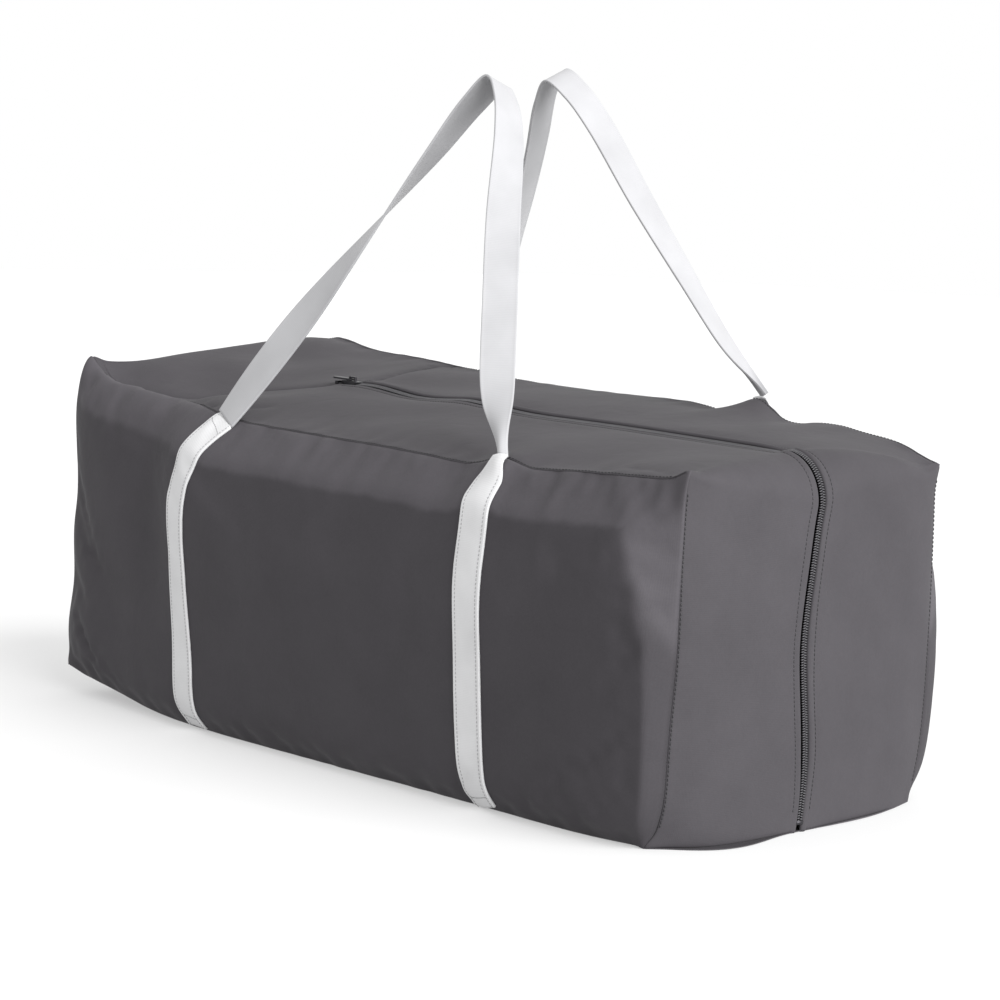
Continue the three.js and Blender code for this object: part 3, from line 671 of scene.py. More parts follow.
def beads(name, centres, along, out, length, radius, flatten=1.0, bow=0.0, sides=6):
    """Many small rounded bars in one mesh. Each is a row of rings along its own direction, fat in the middle,
    bowed outward by a parabola, and closed by flat caps."""
    along, out = unit(along), unit(out)
    across = unit(np.cross(along, out))
    out = np.cross(across, along)
    places = np.array([-1, -0.78, 0, 0.78, 1])
    widths = np.array([0.45, 0.9, 1.0, 0.9, 0.45])
    turn = 2 * np.pi * np.arange(sides) / sides
    ring_out = np.cos(turn) * radius * flatten
    ring_across = np.sin(turn) * radius
    lengths = np.broadcast_to(np.asarray(length, float), (len(centres),))
    reach = places[None, :, None, None] * lengths[:, None, None, None] / 2 * along[:, None, None, :]
    lift = (bow * (1 - places**2))[None, :, None, None] * out[:, None, None, :]
    section = (ring_out[None, None, :, None] * out[:, None, None, :]
               + ring_across[None, None, :, None] * across[:, None, None, :]) * widths[None, :, None, None]
    vertices = centres[:, None, None, :] + reach + lift + section
    rings = len(places)
    body = grid_faces(rings, sides, wrap_columns=True)
    half = np.arange(sides // 2 - 1)
    first = np.stack([0 * half, half * 2 + 1, half * 2 + 2, (half * 2 + 3) % sides], -1)
    last = (first + (rings - 1) * sides)[:, ::-1]
    one = np.concatenate([body, first, last])
    faces = one[None] + (np.arange(len(centres)) * rings * sides)[:, None, None]
    return mesh_object(name, vertices, faces.reshape(-1, 4))


def stitches(name, path, out, pitch, radius, share=0.72, lift=0.0):
    """A row of lockstitches: one short bowed thread for each pitch, sunk into the cloth at both ends."""
    count = max(int(arc_lengths(path)[-1] / pitch), 2)
    edges, normals = even_path(path, count + 1, out)
    centres = (edges[1:] + edges[:-1]) / 2 + unit(normals[1:]) * lift
    return beads(name, centres, edges[1:] - edges[:-1], normals[1:], pitch * share, radius, bow=radius * 0.7)


def ribbon_section(width, thickness, rim, count=15):
    """Outline of woven webbing as pairs (across, out): a flat face, a raised selvedge near each edge, and a
    flat back."""
    across = np.sin(np.linspace(-1, 1, count) * np.pi / 2) * width / 2
    near_edge = (width / 2 - np.abs(across)) / (width / 2)
    face = thickness / 2 + rim * np.exp(-(((near_edge - 0.07) / 0.05) ** 2))
    face = face * np.where(near_edge < 1e-9, 0.35, 1)
    return np.concatenate([np.stack([across, face], -1), np.stack([across[::-1], -face[::-1]], -1)])


def tube_faces(rows, columns):
    """Quads round a closed outline carried along a path, with its ends closed between its face and back."""
    k = np.arange(columns // 2 - 1)
    cap = np.stack([k, k + 1, columns - 2 - k, columns - 1 - k], -1)
    body = grid_faces(rows, columns, wrap_columns=True)
    return np.concatenate([body, cap[:, ::-1], cap + (rows - 1) * columns])


def sweep(name, path, across, out, section, pinch=None):
    """A closed outline carried along a path: each point is the path's, plus the outline's two numbers along
    the across and out directions. Where it is pinched it narrows, and its edges cup back by a parabola."""
    rows, columns = len(path), len(section)
    scale = np.ones(rows) if pinch is None else pinch
    cup = (1 - scale)[:, None] * (2 * section[None, :, 0] / np.ptp(section[:, 0])) ** 2 * 7 * MM
    vertices = (path[:, None] + section[None, :, :1] * scale[:, None, None] * across[:, None]
                + (section[None, :, 1] - cup)[..., None] * out[:, None])
    uv = np.stack(np.broadcast_arrays(arc_lengths(path)[:, None], section[None, :, 0]), -1)
    return mesh_object(name, vertices, tube_faces(rows, columns), uv)


def outward_faces(thing):
    """Turns a closed mesh's faces out, where a sweep's direction has left them inward."""
    shape = bmesh.new()
    shape.from_mesh(thing.data)
    bmesh.ops.remove_doubles(shape, verts=shape.verts, dist=1e-6)
    bmesh.ops.recalc_face_normals(shape, faces=shape.faces)
    shape.to_mesh(thing.data)
    shape.free()
    return thing


# ---- Materials -------------------------------------------------------------------------------------
def linear(hex_colour):
    """An sRGB hex colour such as 4D4B4E as linear red, green, blue and alpha."""
    parts = [int(hex_colour[i : i + 2], 16) / 255 for i in (0, 2, 4)]
    return (*[c / 12.92 if c <= 0.04045 else ((c + 0.055) / 1.055) ** 2.4 for c in parts], 1.0)


def add_node(tree, kind, inputs=(), **settings):
    """Adds one node, sets its own settings, and gives each named input a value or another node's socket."""
    node = tree.nodes.new("ShaderNode" + kind)
    for key, value in settings.items():
        setattr(node, key, value)
    for key, value in dict(inputs).items():
        if isinstance(value, bpy.types.NodeSocket):
            tree.links.new(value, node.inputs[key])
        else:
            node.inputs[key].default_value = value
    return node


def shade(colour, share):
    """A linear colour made darker or lighter by a share."""
    return (*[c * share for c in colour[:3]], 1.0)


def finish_named(name, colour, shades, **shader_values):
    """A new material: a Principled shader with a ramp between two shades of a colour. Gives the material,
    tree, shader, ramp and Object coordinates, so that each finish drives its ramp and bump in its own way."""
    material = bpy.data.materials.new(name)
    material.use_nodes = True
    tree = material.node_tree
    shader = tree.nodes["Principled BSDF"]
    for key, value in shader_values.items():
        shader.inputs[key.replace("_", " ")].default_value = value
    ramp = add_node(tree, "ValToRGB")
    for element, share in zip(ramp.color_ramp.elements, shades):
        element.color = shade(colour, share)
    tree.links.new(ramp.outputs["Color"], shader.inputs["Base Color"])
    material.diffuse_color = shade(colour, shades[1])
    return material, tree, shader, ramp, add_node(tree, "TexCoord").outputs["Object"]


def wave_scale(pitch):
    """The Wave texture's scale that repeats once in a pitch: it turns through 20 radians for each unit."""
    return 2 * math.pi / (20 * pitch)


def plain_weave(tree, coordinates, pitch):
    """Height of a plain weave: two sets of bands a right angle apart, multiplied."""
    bands = [
        add_node(tree, "TexWave", {"Vector": coordinates, "Scale": wave_scale(pitch), "Distortion": 0.6,
                                   "Detail": 1.0, "Detail Scale": 0.5}, bands_direction=direction)
        for direction in ("X", "Y")
    ]
    return add_node(tree, "Math", {0: bands[0].outputs["Fac"], 1: bands[1].outputs["Fac"]},
                    operation="MULTIPLY").outputs[0]


def bump(tree, shader, height, strength, distance, onto=None):
    """A bump on the shader, laid over an earlier one where given."""
    inputs = {"Height": height, "Strength": strength, "Distance": distance}
    if onto is not None:
        inputs["Normal"] = onto.outputs["Normal"]
    node = add_node(tree, "Bump", inputs)
    tree.links.new(node.outputs["Normal"], shader.inputs["Normal"])
    return node


def woven_polyester(name, colour, pitch=1.3 * MM, painted_edge_light=0.0):
    """Coated polyester in a plain weave. Its threads are 0.3 mm apart, drawn coarser so that they show as a
    faint grain, with the small creases of cloth that was folded, and a soft sheen at grazing angles."""
    material, tree, shader, ramp, place = finish_named(
        name, colour, (0.90, 1.09), Roughness=0.6, Sheen_Weight=0.02, Sheen_Roughness=0.4, IOR=1.5,
        Specular_IOR_Level=0.07)
    uv = add_node(tree, "UVMap", uv_map="cloth").outputs["UV"]
    blotch = add_node(tree, "TexNoise", {"Vector": place, "Scale": 14.0, "Detail": 5.0, "Roughness": 0.62})
    slub = add_node(tree, "TexNoise", {"Vector": place, "Scale": 420.0, "Detail": 2.0})
    mixed = add_node(tree, "Math", {0: slub.outputs["Fac"], 1: 0.35, 2: blotch.outputs["Fac"]},
                     operation="MULTIPLY_ADD")
    spread = add_node(tree, "MapRange", {"Value": mixed.outputs[0], "From Min": 0.42, "From Max": 0.98})
    tree.links.new(spread.outputs[0], ramp.inputs["Fac"])
    if painted_edge_light:
        # Painted light: paler in bands over the top edge and the zipped end's edge, for light on the rounded
        # edges.
        parts = add_node(tree, "SeparateXYZ", {0: uv})
        slanted = add_node(tree, "Math", {0: parts.outputs[1], 1: 0.37, 2: parts.outputs[0]},
                           operation="MULTIPLY_ADD")
        wander = add_node(tree, "Math", {0: blotch.outputs["Fac"], 1: 0.016, 2: parts.outputs[1]},
                          operation="MULTIPLY_ADD")
        top = add_node(tree, "MapRange", {"Value": wander.outputs[0], "From Min": 0.300, "From Max": 0.309},
                       interpolation_type="SMOOTHSTEP")
        end = add_node(tree, "MapRange", {"Value": slanted.outputs[0], "From Min": 0.873, "From Max": 0.883},
                       interpolation_type="SMOOTHSTEP")
        both = add_node(tree, "Math", {0: top.outputs[0], 1: end.outputs[0]}, operation="MAXIMUM")
        gain = add_node(tree, "Math", {0: both.outputs[0], 1: painted_edge_light, 2: 1.0}, operation="MULTIPLY_ADD")
        painted_light = add_node(tree, "VectorMath", {0: ramp.outputs["Color"], 3: gain.outputs[0]}, operation="SCALE")
        tree.links.new(painted_light.outputs[0], shader.inputs["Base Color"])
    weave = plain_weave(tree, uv, pitch)
    crease = add_node(tree, "TexNoise", {"Vector": place, "Scale": 38.0, "Detail": 4.0, "Roughness": 0.5,
                                         "Distortion": 0.8})
    first = bump(tree, shader, crease.outputs["Fac"], 0.35, 1.6 * MM)
    bump(tree, shader, weave, 0.35, 0.12 * MM, onto=first)
    return material


def sewing_thread(name, colour):
    """Spun polyester thread: a fine twist that breaks up its highlight."""
    material, tree, shader, ramp, place = finish_named(name, colour, (0.8, 1.15), Roughness=0.55)
    twist = add_node(tree, "TexNoise", {"Vector": place, "Scale": 1800.0, "Detail": 1.0})
    tree.links.new(twist.outputs["Fac"], ramp.inputs["Fac"])
    bump(tree, shader, twist.outputs["Fac"], 0.3, 0.1 * MM)
    return material


def polyester_webbing(name, colour):
    """Flat woven strap: ribs 1.6 mm apart across it, a fine twill, and a smoother selvedge. The ribs are drawn
    a little coarser than the yarn, so that they show."""
    material, tree, shader, ramp, place = finish_named(
        name, colour, (0.9, 1.06), Roughness=0.7, Sheen_Weight=0.2, Sheen_Roughness=0.5, Specular_IOR_Level=0.3)
    uv = add_node(tree, "UVMap", uv_map="cloth").outputs["UV"]
    ribs = add_node(tree, "TexWave", {"Vector": uv, "Scale": wave_scale(1.6 * MM), "Distortion": 0.3},
                    bands_direction="X")
    dirt = add_node(tree, "TexNoise", {"Vector": place, "Scale": 26.0, "Detail": 6.0})
    mixed = add_node(tree, "Math", {0: ribs.outputs["Fac"], 1: 0.22, 2: dirt.outputs["Fac"]},
                     operation="MULTIPLY_ADD")
    spread = add_node(tree, "MapRange", {"Value": mixed.outputs[0], "From Min": 0.3, "From Max": 0.9})
    tree.links.new(spread.outputs[0], ramp.inputs["Fac"])
    bump(tree, shader, ribs.outputs["Fac"], 0.2, 0.08 * MM)
    return material


def moulded_plastic(name, colour, roughness=0.45, grain=900.0):
    """Injection-moulded plastic: a fine spark-eroded grain, and slightly uneven gloss."""
    material, tree, shader, ramp, place = finish_named(name, colour, (0.85, 1.15), Roughness=roughness,
                                                       IOR=1.46)
    cloud = add_node(tree, "TexNoise", {"Vector": place, "Scale": 40.0, "Detail": 4.0})
    tree.links.new(cloud.outputs["Fac"], ramp.inputs["Fac"])
    speck = add_node(tree, "TexNoise", {"Vector": place, "Scale": grain, "Detail": 2.0})
    bump(tree, shader, speck.outputs["Fac"], 0.25, 0.15 * MM)
    return material


def painted_zinc(name, colour):
    """Die-cast zinc with a dark plated finish: metallic, with a faint cast texture and bright worn spots."""
    material, tree, shader, ramp, place = finish_named(name, colour, (0.75, 1.5), Metallic=0.85, Roughness=0.34)
    worn = add_node(tree, "TexNoise", {"Vector": place, "Scale": 260.0, "Detail": 5.0, "Roughness": 0.7})
    tree.links.new(worn.outputs["Fac"], ramp.inputs["Fac"])
    rough = add_node(tree, "MapRange", {"Value": worn.outputs["Fac"], "To Min": 0.26, "To Max": 0.5})
    tree.links.new(rough.outputs[0], shader.inputs["Roughness"])
    bump(tree, shader, worn.outputs["Fac"], 0.15, 0.1 * MM)
    return material


def galvanised_tube(name, colour):
    """Drawn steel tube with a thin powder coat: fine orange peel, and drawing lines along the tube."""
    material, tree, shader, ramp, place = finish_named(name, colour, (0.9, 1.06), Metallic=0.6, Roughness=0.38)
    stretched = add_node(tree, "Mapping", {"Vector": place, "Scale": (0.03, 1.0, 1.0)}).outputs["Vector"]
    lines = add_node(tree, "TexNoise", {"Vector": stretched, "Scale": 900.0, "Detail": 3.0})
    peel = add_node(tree, "TexNoise", {"Vector": place, "Scale": 350.0, "Detail": 2.0})
    tree.links.new(lines.outputs["Fac"], ramp.inputs["Fac"])
    first = bump(tree, shader, peel.outputs["Fac"], 0.2, 0.1 * MM)
    bump(tree, shader, lines.outputs["Fac"], 0.15, 0.06 * MM, onto=first)
    return material


def warp_knit_net(name, colour):
    """Warp-knit polyester netting, folded thick: rows of small holes show as dark cells between pale knots."""
    material, tree, shader, ramp, place = finish_named(name, colour, (0.35, 1.15), Roughness=0.8,
                                                       Sheen_Weight=0.2)
    cells = add_node(tree, "TexVoronoi", {"Vector": place, "Scale": 1 / (3.2 * MM), "Randomness": 0.25},
                     feature="DISTANCE_TO_EDGE")
    thread = add_node(tree, "MapRange", {"Value": cells.outputs["Distance"], "From Min": 0.05, "From Max": 0.2,
                                         "To Min": 1.0, "To Max": 0.0})
    tree.links.new(thread.outputs[0], ramp.inputs["Fac"])
    bump(tree, shader, thread.outputs[0], 0.7, 0.5 * MM)
    return material


def hook_and_loop_pile(name, colour):
    """Hook-and-loop tape: a dense dark pile of loops about a millimetre across."""
    material, tree, shader, ramp, place = finish_named(name, colour, (0.6, 1.8), Roughness=0.9,
                                                       Sheen_Weight=0.4)
    loops = add_node(tree, "TexVoronoi", {"Vector": place, "Scale": 1 / (1.1 * MM)})
    tree.links.new(loops.outputs["Distance"], ramp.inputs["Fac"])
    bump(tree, shader, loops.outputs["Distance"], 0.8, 0.5 * MM)
    return material


# ---- Settings that a user would change ---------------------------------------------------------------
def colour_setting(name, description, hex_colour):
    """A colour that a user can change, from its sRGB hex."""
    return FloatVectorProperty(name=name, description=description, subtype="COLOR", size=4, min=0, max=1,
                               default=linear(hex_colour))


def length_setting(name, description, default, low, high):
    """A length that a user can change, from millimetres."""
    return FloatProperty(name=name, description=description, default=default * MM, min=low * MM,
                         max=high * MM, unit="LENGTH")


class PLAYPEN_PG_colours(bpy.types.PropertyGroup):
    """Colours of the finishes."""

    cloth: colour_setting("Side cloth", "Coated polyester of the sides and base", "3C3A3D")
    # Painted light: the top and the zipped end get the side cloth made lighter, standing in for the key light
    # on them.
    lit_top_cloth: colour_setting("Top cloth", "The side cloth painted lighter: light on the top and the zipped"
                              " end", "403E41")
    webbing: colour_setting("Webbing", "Handle webbing", "BCBCBD")
    # Painted shade: the loops are the same webbing as the sewn legs, made darker to damp the key light on them.
    shaded_loop_webbing: colour_setting("Loop webbing", "Webbing of the carrying loops", "99999B")
    zip_tape: colour_setting("Zip tape", "Woven tape and coil of the zip", "38373A")
    thread: colour_setting("Bag thread", "Thread of the bag's seams", "262528")
    metal: colour_setting("Slider metal", "Plated zinc of slider and pull", "333235")


class PLAYPEN_PG_sizes(bpy.types.PropertyGroup):
    """Sizes of the sewn details."""

    webbing_width: length_setting("Webbing width", "Width of the handle webbing", 30, 10, 60)
    webbing_thickness: length_setting("Webbing thickness", "Thickness of the handle webbing", 1.8, 0.5, 4)
    stitch_pitch: length_setting("Stitch length", "Distance from one stitch to the next", 3.6, 1, 8)
    zip_pitch: length_setting("Zip pitch", "Distance from one coil to the next", 2.1, 1, 5)
    cloth_columns: IntProperty(name="Cloth detail", description="Vertices along each bag panel",
                               default=230, min=40, max=500)


def give(thing, material, body, replaces=()):
    """Puts a finished piece's material on it, lets it ride, and hides what it stands for."""
    thing.data.materials.clear()
    thing.data.materials.append(material)
    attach(thing, body)
    if replaces:
        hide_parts(*replaces)
    return thing


# ---- Operators: one for each group of like pieces ----------------------------------------------------
class PLAYPEN_OT_bag(bpy.types.Operator):
    """Builds the six cloth panels of the bag; the front, back and slack end are settled as real cloth between
    their seams
    """

    bl_idname = "playpen.bag"
    bl_label = "Bag cloth"

    def execute(self, context):
        colours = context.scene.playpen_colours
        # The side cloth is painted paler along its top and zipped-end edges: painted light on the rounded
        # edges.
        cloth = woven_polyester("Coated polyester plain weave", colours.cloth, painted_edge_light=0.45)
        # The strips get the same cloth painted lighter: painted light on the top and the zipped end.
        lit_top_cloth = woven_polyester("Coated polyester painted lighter", colours.lit_top_cloth)
        columns = context.scene.playpen_sizes.cloth_columns
        plan = [("front", 84, "front_panel", 3.5), ("back", 84, "back_panel", 4.0),
                ("strip_front", 52, "top_end_strip_front", 0), ("strip_back", 52, "top_end_strip_back", 0),
                ("left_end", 80, "left_end_panel", 5.0), ("bottom", 60, "bottom_panel", 0)]
        for seed, (key, rows, node, cap) in enumerate(plan):
            panel = PANELS[key]
            if cap:
                panel.settle(cap * MM, 100 + seed)
            count = int(columns * (1.3 if panel.open_far else 0.5 if key == "left_end" else 1))
            made = give(panel.build(count, rows), lit_top_cloth if panel.open_far else cloth, "bag",
                        [node])
        return {"FINISHED"}


def chain_path(count):
    """The zip's middle line: the softly waved line along the top, then midway between the strips' lips round
    the bend and down the end. Gives points, the way out, and the way across."""
    s = np.linspace(0, 1, count)
    front, back = strip(s, 1.0 + 0 * s, -1), strip(s, 1.0 + 0 * s, 1)
    middle = (front + back) / 2
    along = unit(np.gradient(middle, axis=0))
    across = unit(back - front + np.array([0, 1e-6, 0]))
    out = unit(np.cross(along, across))
    middle = middle + out * 1.0 * MM
    on_top = np.stack([middle[:, 0], 0 * s, zip_waved(middle[:, 0])], -1)
    share = (1 - smooth(middle[:, 0], 0.362, 0.378)) * (s < TOP_SHARE + 0.02)
    middle = lerp(middle, on_top, share[:, None])
    keep = (middle[:, 0] > ZIP_START_X) & (middle[:, 2] > 9 * MM)
    return middle[keep], out[keep], across[keep]


class PLAYPEN_OT_zip(bpy.types.Operator):
    """Builds the zip: two woven tapes, the interlocked coil, its stops, the slider and its pull"""

    bl_idname = "playpen.zip"
    bl_label = "Zip"

    def execute(self, context):
        colours, sizes = context.scene.playpen_colours, context.scene.playpen_sizes
        tape = woven_polyester("Woven zip tape", colours.zip_tape, 0.9 * MM)
        coil = moulded_plastic("Nylon zip coil", colours.zip_tape, 0.38)
        metal = painted_zinc("Plated die-cast zinc", colours.metal)
        middle, out, across = chain_path(1400)
        count = int(arc_lengths(middle)[-1] / sizes.zip_pitch)
        centres, outs, acrosses = even_path(middle, count, out, across)
        outs, acrosses = unit(outs), unit(acrosses)
        along = unit(np.gradient(centres, axis=0))
        rows = []
        for side in (-1, 1):
            shifted = centres + along * (sizes.zip_pitch / 2 if side > 0 else 0)
            slant = acrosses + 0.18 * side * along
            rows.append(beads(f"zip_coil_{SIDE_NAMES[side]}",
                              shifted + acrosses * side * 1.55 * MM, slant, outs, 3.3 * MM, 0.72 * MM,
                              bow=0.55 * MM))
        give(rows[0], coil, "bag", ["zip_chain"])
        give(rows[1], coil, "bag")
        for side, node in ((-1, "zip_tape_front"), (1, "zip_tape_back")):
            section = ribbon_section(13 * MM, 0.6 * MM, 0.12 * MM, 9)
            path = centres[::3] + acrosses[::3] * side * 9.3 * MM - outs[::3] * 2.4 * MM
            made = sweep(node + "_woven", path, acrosses[::3], outs[::3], section)
            give(outward_faces(made), tape, "bag", [node])
        for key, side in (("strip_front", -1), ("strip_back", 1)):
            panel = PANELS[key]
            s = np.linspace(0.21, 0.985, 900)
            t = 1 - 8.0 * MM / (SEAM_Y - LIP_Y) + 0 * s
            path, normal = panel.at(s, t, 0.15 * MM), panel.hung_normals(s, t)
            path[:, 2] = np.maximum(path[:, 2], 0.5 * MM)
            line = stitches(f"zip_topstitch_{SIDE_NAMES[side]}", path, normal,
                            sizes.stitch_pitch, 0.34 * MM)
            give(line, sewing_thread("Dark polyester thread", colours.thread), "bag")
        for node, body in (("zip_slider", "slider"), ("zip_pull", "pull")):
            give(bevelled_copy(node, 0.45 * MM, 3), metal, body, [node])
        keep_node("zip_top_stop", metal)
        stop = beads("zip_end_stop_crimped", centres[-1:] - along[-1:] * -1.5 * MM, acrosses[-1:], outs[-1:],
                     8 * MM, 2.2 * MM, flatten=0.8, sides=12)
        give(stop, metal, "bag", ["zip_end_stop"])
        return {"FINISHED"}


def bevelled_copy(node, width, segments):
    """A CAD node's mesh, merged, with its edges rounded and its round faces smooth."""
    mesh = bpy.data.meshes.new(node + "_finished")
    shape = bmesh.new()
    shape.from_mesh(frame["nodes"][node].data)
    bmesh.ops.remove_doubles(shape, verts=shape.verts, dist=1e-5)
    bmesh.ops.dissolve_limit(shape, angle_limit=math.radians(1), verts=shape.verts, edges=shape.edges)
    shape.to_mesh(mesh)
    shape.free()
    mesh.polygons.foreach_set("use_smooth", np.ones(len(mesh.polygons), bool))
    made = bpy.data.objects.new(node + "_finished", mesh)
    bpy.context.scene.collection.objects.link(made)
    rounding = made.modifiers.new("Rounded edges", "BEVEL")
    rounding.width, rounding.segments, rounding.limit_method = width, segments, "ANGLE"
    rounding.angle_limit = math.radians(35)
    rounding.harden_normals = True
    return made


def keep_node(node, material):
    """A CAD node whose shape is right keeps it, and gets its finish."""
    mesh = frame["nodes"][node].data
    mesh.materials.clear()
    mesh.materials.append(material)


class PLAYPEN_OT_seams(bpy.types.Operator):
    """Sews the bag's seams: a row of stitches beside each seam that shows"""

    bl_idname = "playpen.seams"
    bl_label = "Seam stitches"

    def execute(self, context):
        colours, sizes = context.scene.playpen_colours, context.scene.playpen_sizes
        thread = sewing_thread("Dark seam thread", colours.thread)
        beside, level, end = 1.6 * MM, np.zeros(500), PANELS["left_end"]
        along, down = np.linspace(0.012, 0.988, 500), np.linspace(0.772, 0.985, 500)
        over = np.linspace(0.01, 0.69, 500)
        rows = [(f"seam_{side}_{place}", f"strip_{side}", share, beside / STRIP_WIDTH + level)
                for place, share in (("right", down), ("top", over)) for side in ("front", "back")]
        rows += [
            ("seam_front_left", "left_end", beside / end.length + level, along),
            ("seam_back_left", "left_end", 1 - beside / end.length + level, along),
            ("seam_ridge", "left_end", along, 1 - beside / end.height + level),
        ]
        for name, key, u, v in rows:
            panel = PANELS[key]
            path = panel.at(u, v, 0.1 * MM)
            path[:, 2] = np.maximum(path[:, 2], 1.0 * MM)
            line = stitches(name, path, panel.hung_normals(u, v), sizes.stitch_pitch, 0.42 * MM)
            give(line, thread, "bag")
        for name, route in (("seam_pleat", PLEAT), ("seam_join", JOIN_Y[1:])):
            path = even_path(catmull_rom([(x * MM, y * MM, 0) for x, y in route], 900), 500)
            path[:, 2] = top_height(path[:, 0], path[:, 1]) + 0.3 * MM
            line = stitches(name, path, np.tile([0.0, 0.0, 1.0], (500, 1)), sizes.stitch_pitch, 0.42 * MM)
            give(line, thread, "bag")
        return {"FINISHED"}


# Each sewn leg: its panel, its hand, and where its foot and its top stand along the bag in millimetres.
LEGS = [
    ("front", "left", -192, -159), ("front", "right", 203, 205),
    ("back", "left", -170, -146), ("back", "right", 198, 204),
]
# How much a share of a side panel is worth along it and up it, and how far a leg's stitching stands off its
# middle.
SIDE_LENGTH, SIDE_HEIGHT, STITCHING = 0.8, 0.3, 11.6 * MM


def leg_place(panel, v, foot, top, power=4):
    """Shares u of the panel along which a leg runs up it: its place along the bag goes from its foot's to its
    top's by a power of the height, and a few steps of correction find the share."""
    x = lerp(foot, top, v**power) * MM
    u = (x + 0.41) / panel.length
    for _ in range(5):
        u = u + (x - panel.hang(u, v)[..., 0]) / panel.length
    return u


class PLAYPEN_OT_legs(bpy.types.Operator):
    """Lays the four sewn legs of webbing on the panels and sews them down along both edges"""

    bl_idname = "playpen.legs"
    bl_label = "Sewn webbing"

    def execute(self, context):
        colours, sizes = context.scene.playpen_colours, context.scene.playpen_sizes
        webbing = polyester_webbing("Polyester webbing", colours.webbing)
        pale = sewing_thread("Pale webbing thread", shade(colours.webbing, 0.42))
        section = ribbon_section(sizes.webbing_width, sizes.webbing_thickness, 0.28 * MM, 17)
        for face, hand, foot, top in LEGS:
            panel = PANELS[face]
            v = np.linspace(0.014, 0.998, 130)
            u = leg_place(panel, v, foot, top, 6 if hand == "left" else 2)
            gather = smooth(v, 0.94, 1.0) * (0.55 if hand == "right" else 0.0)
            width = 1 - gather
            across = section[None, :, 0] * width[:, None]
            slope = np.gradient(u, v) * SIDE_LENGTH / SIDE_HEIGHT
            square_u, square_v = 1 / np.hypot(1, slope), -slope / np.hypot(1, slope)
            grid_u = u[:, None] + across * square_u[:, None] / SIDE_LENGTH
            grid_v = np.clip(v[:, None] + across * square_v[:, None] / SIDE_HEIGHT, 0.012, 1)
            rise = section[None, :, 1] + sizes.webbing_thickness / 2 + 0.25 * MM
            rise = rise + 5 * MM * gather[:, None] * (1 - (across / (0.5 * sizes.webbing_width)) ** 2)
            rows, columns = grid_u.shape
            where = panel.at(grid_u, grid_v, rise)
            uv = np.stack(np.broadcast_arrays(v[:, None] * 0.34, section[None, :, 0]), -1)
            made = mesh_object(f"webbing_leg_{face}_{hand}", where, tube_faces(rows, columns), uv)
            outward_faces(made)
            give(made, webbing, "bag", [f"sewn_leg_{face}_{hand}"])
            for edge in (-1, 1):
                beside = edge * STITCHING * width
                line_u = u + beside * square_u / SIDE_LENGTH
                line_v = np.clip(v + beside * square_v / SIDE_HEIGHT, 0.002, 1)
                height = sizes.webbing_thickness + 0.2 * MM
                line = stitches(f"leg_stitch_{face}_{hand}_{'a' if edge < 0 else 'b'}",
                                panel.at(line_u, line_v, height), panel.hung_normals(line_u, line_v), 3.3 * MM,
                                0.3 * MM)
                give(line, pale, "bag")
            for place in (0.97, 0.05):
                reach = np.linspace(-1, 1, 60) * STITCHING
                line_u = np.interp(place, v, u) + reach * np.interp(place, v, square_u) / SIDE_LENGTH
                line_v = place + reach * np.interp(place, v, square_v) / SIDE_HEIGHT
                line = stitches(f"leg_bar_{face}_{hand}_{'top' if place > 0.5 else 'foot'}",
                                panel.at(line_u, line_v, sizes.webbing_thickness + 0.2 * MM),
                                panel.hung_normals(line_u, line_v), 2.6 * MM, 0.36 * MM)
                give(line, pale, "bag")
        return {"FINISHED"}


# Points along each loop: place along the bag in millimetres, and share of the height up the leaning loop.
LOOP_POINTS = [(-168, 0), (-145, 0.115), (-117, 0.25), (-78, 0.43), (-37, 0.615), (3, 0.795), (33, 0.935),
               (55, 1), (74, 0.95), (92, 0.85), (119, 0.615), (149, 0.38), (173, 0.195), (190, 0.085), (204, 0)]
# Where each loop's plane starts and ends as (y, z), how far its left foot is moved along the bag, how narrow
# each foot is gathered, whether each foot is cut square to its webbing, and the turn of each leg in degrees
# against its share of the way up.
LOOPS = {
    "front": {"side": -1, "base": (-160, 293), "top": (-36, 600), "shift": 8, "gathers": (1.0, 0.36),
              "square_feet": (1, 0),
              "left_turn": [(0, 0), (0.1, -14), (0.25, -18), (0.42, 8), (0.62, 44), (0.8, 72), (1, 90)],
              "right_turn": [(0, 0), (0.15, 28), (0.5, 46), (0.8, 72), (1, 90)]},
    "back": {"side": 1, "base": (160, 331), "top": (36, 610), "shift": 22, "gathers": (0.8, 0.22),
             "square_feet": (0, 1),
             "left_turn": [(0, 0), (0.06, 42), (0.3, 66), (0.55, 80), (0.85, 90), (1, 90)],
             "right_turn": [(0, 116), (0.25, 112), (0.6, 96), (0.85, 90), (1, 90)]},
}
APEX_SHARE = 0.535


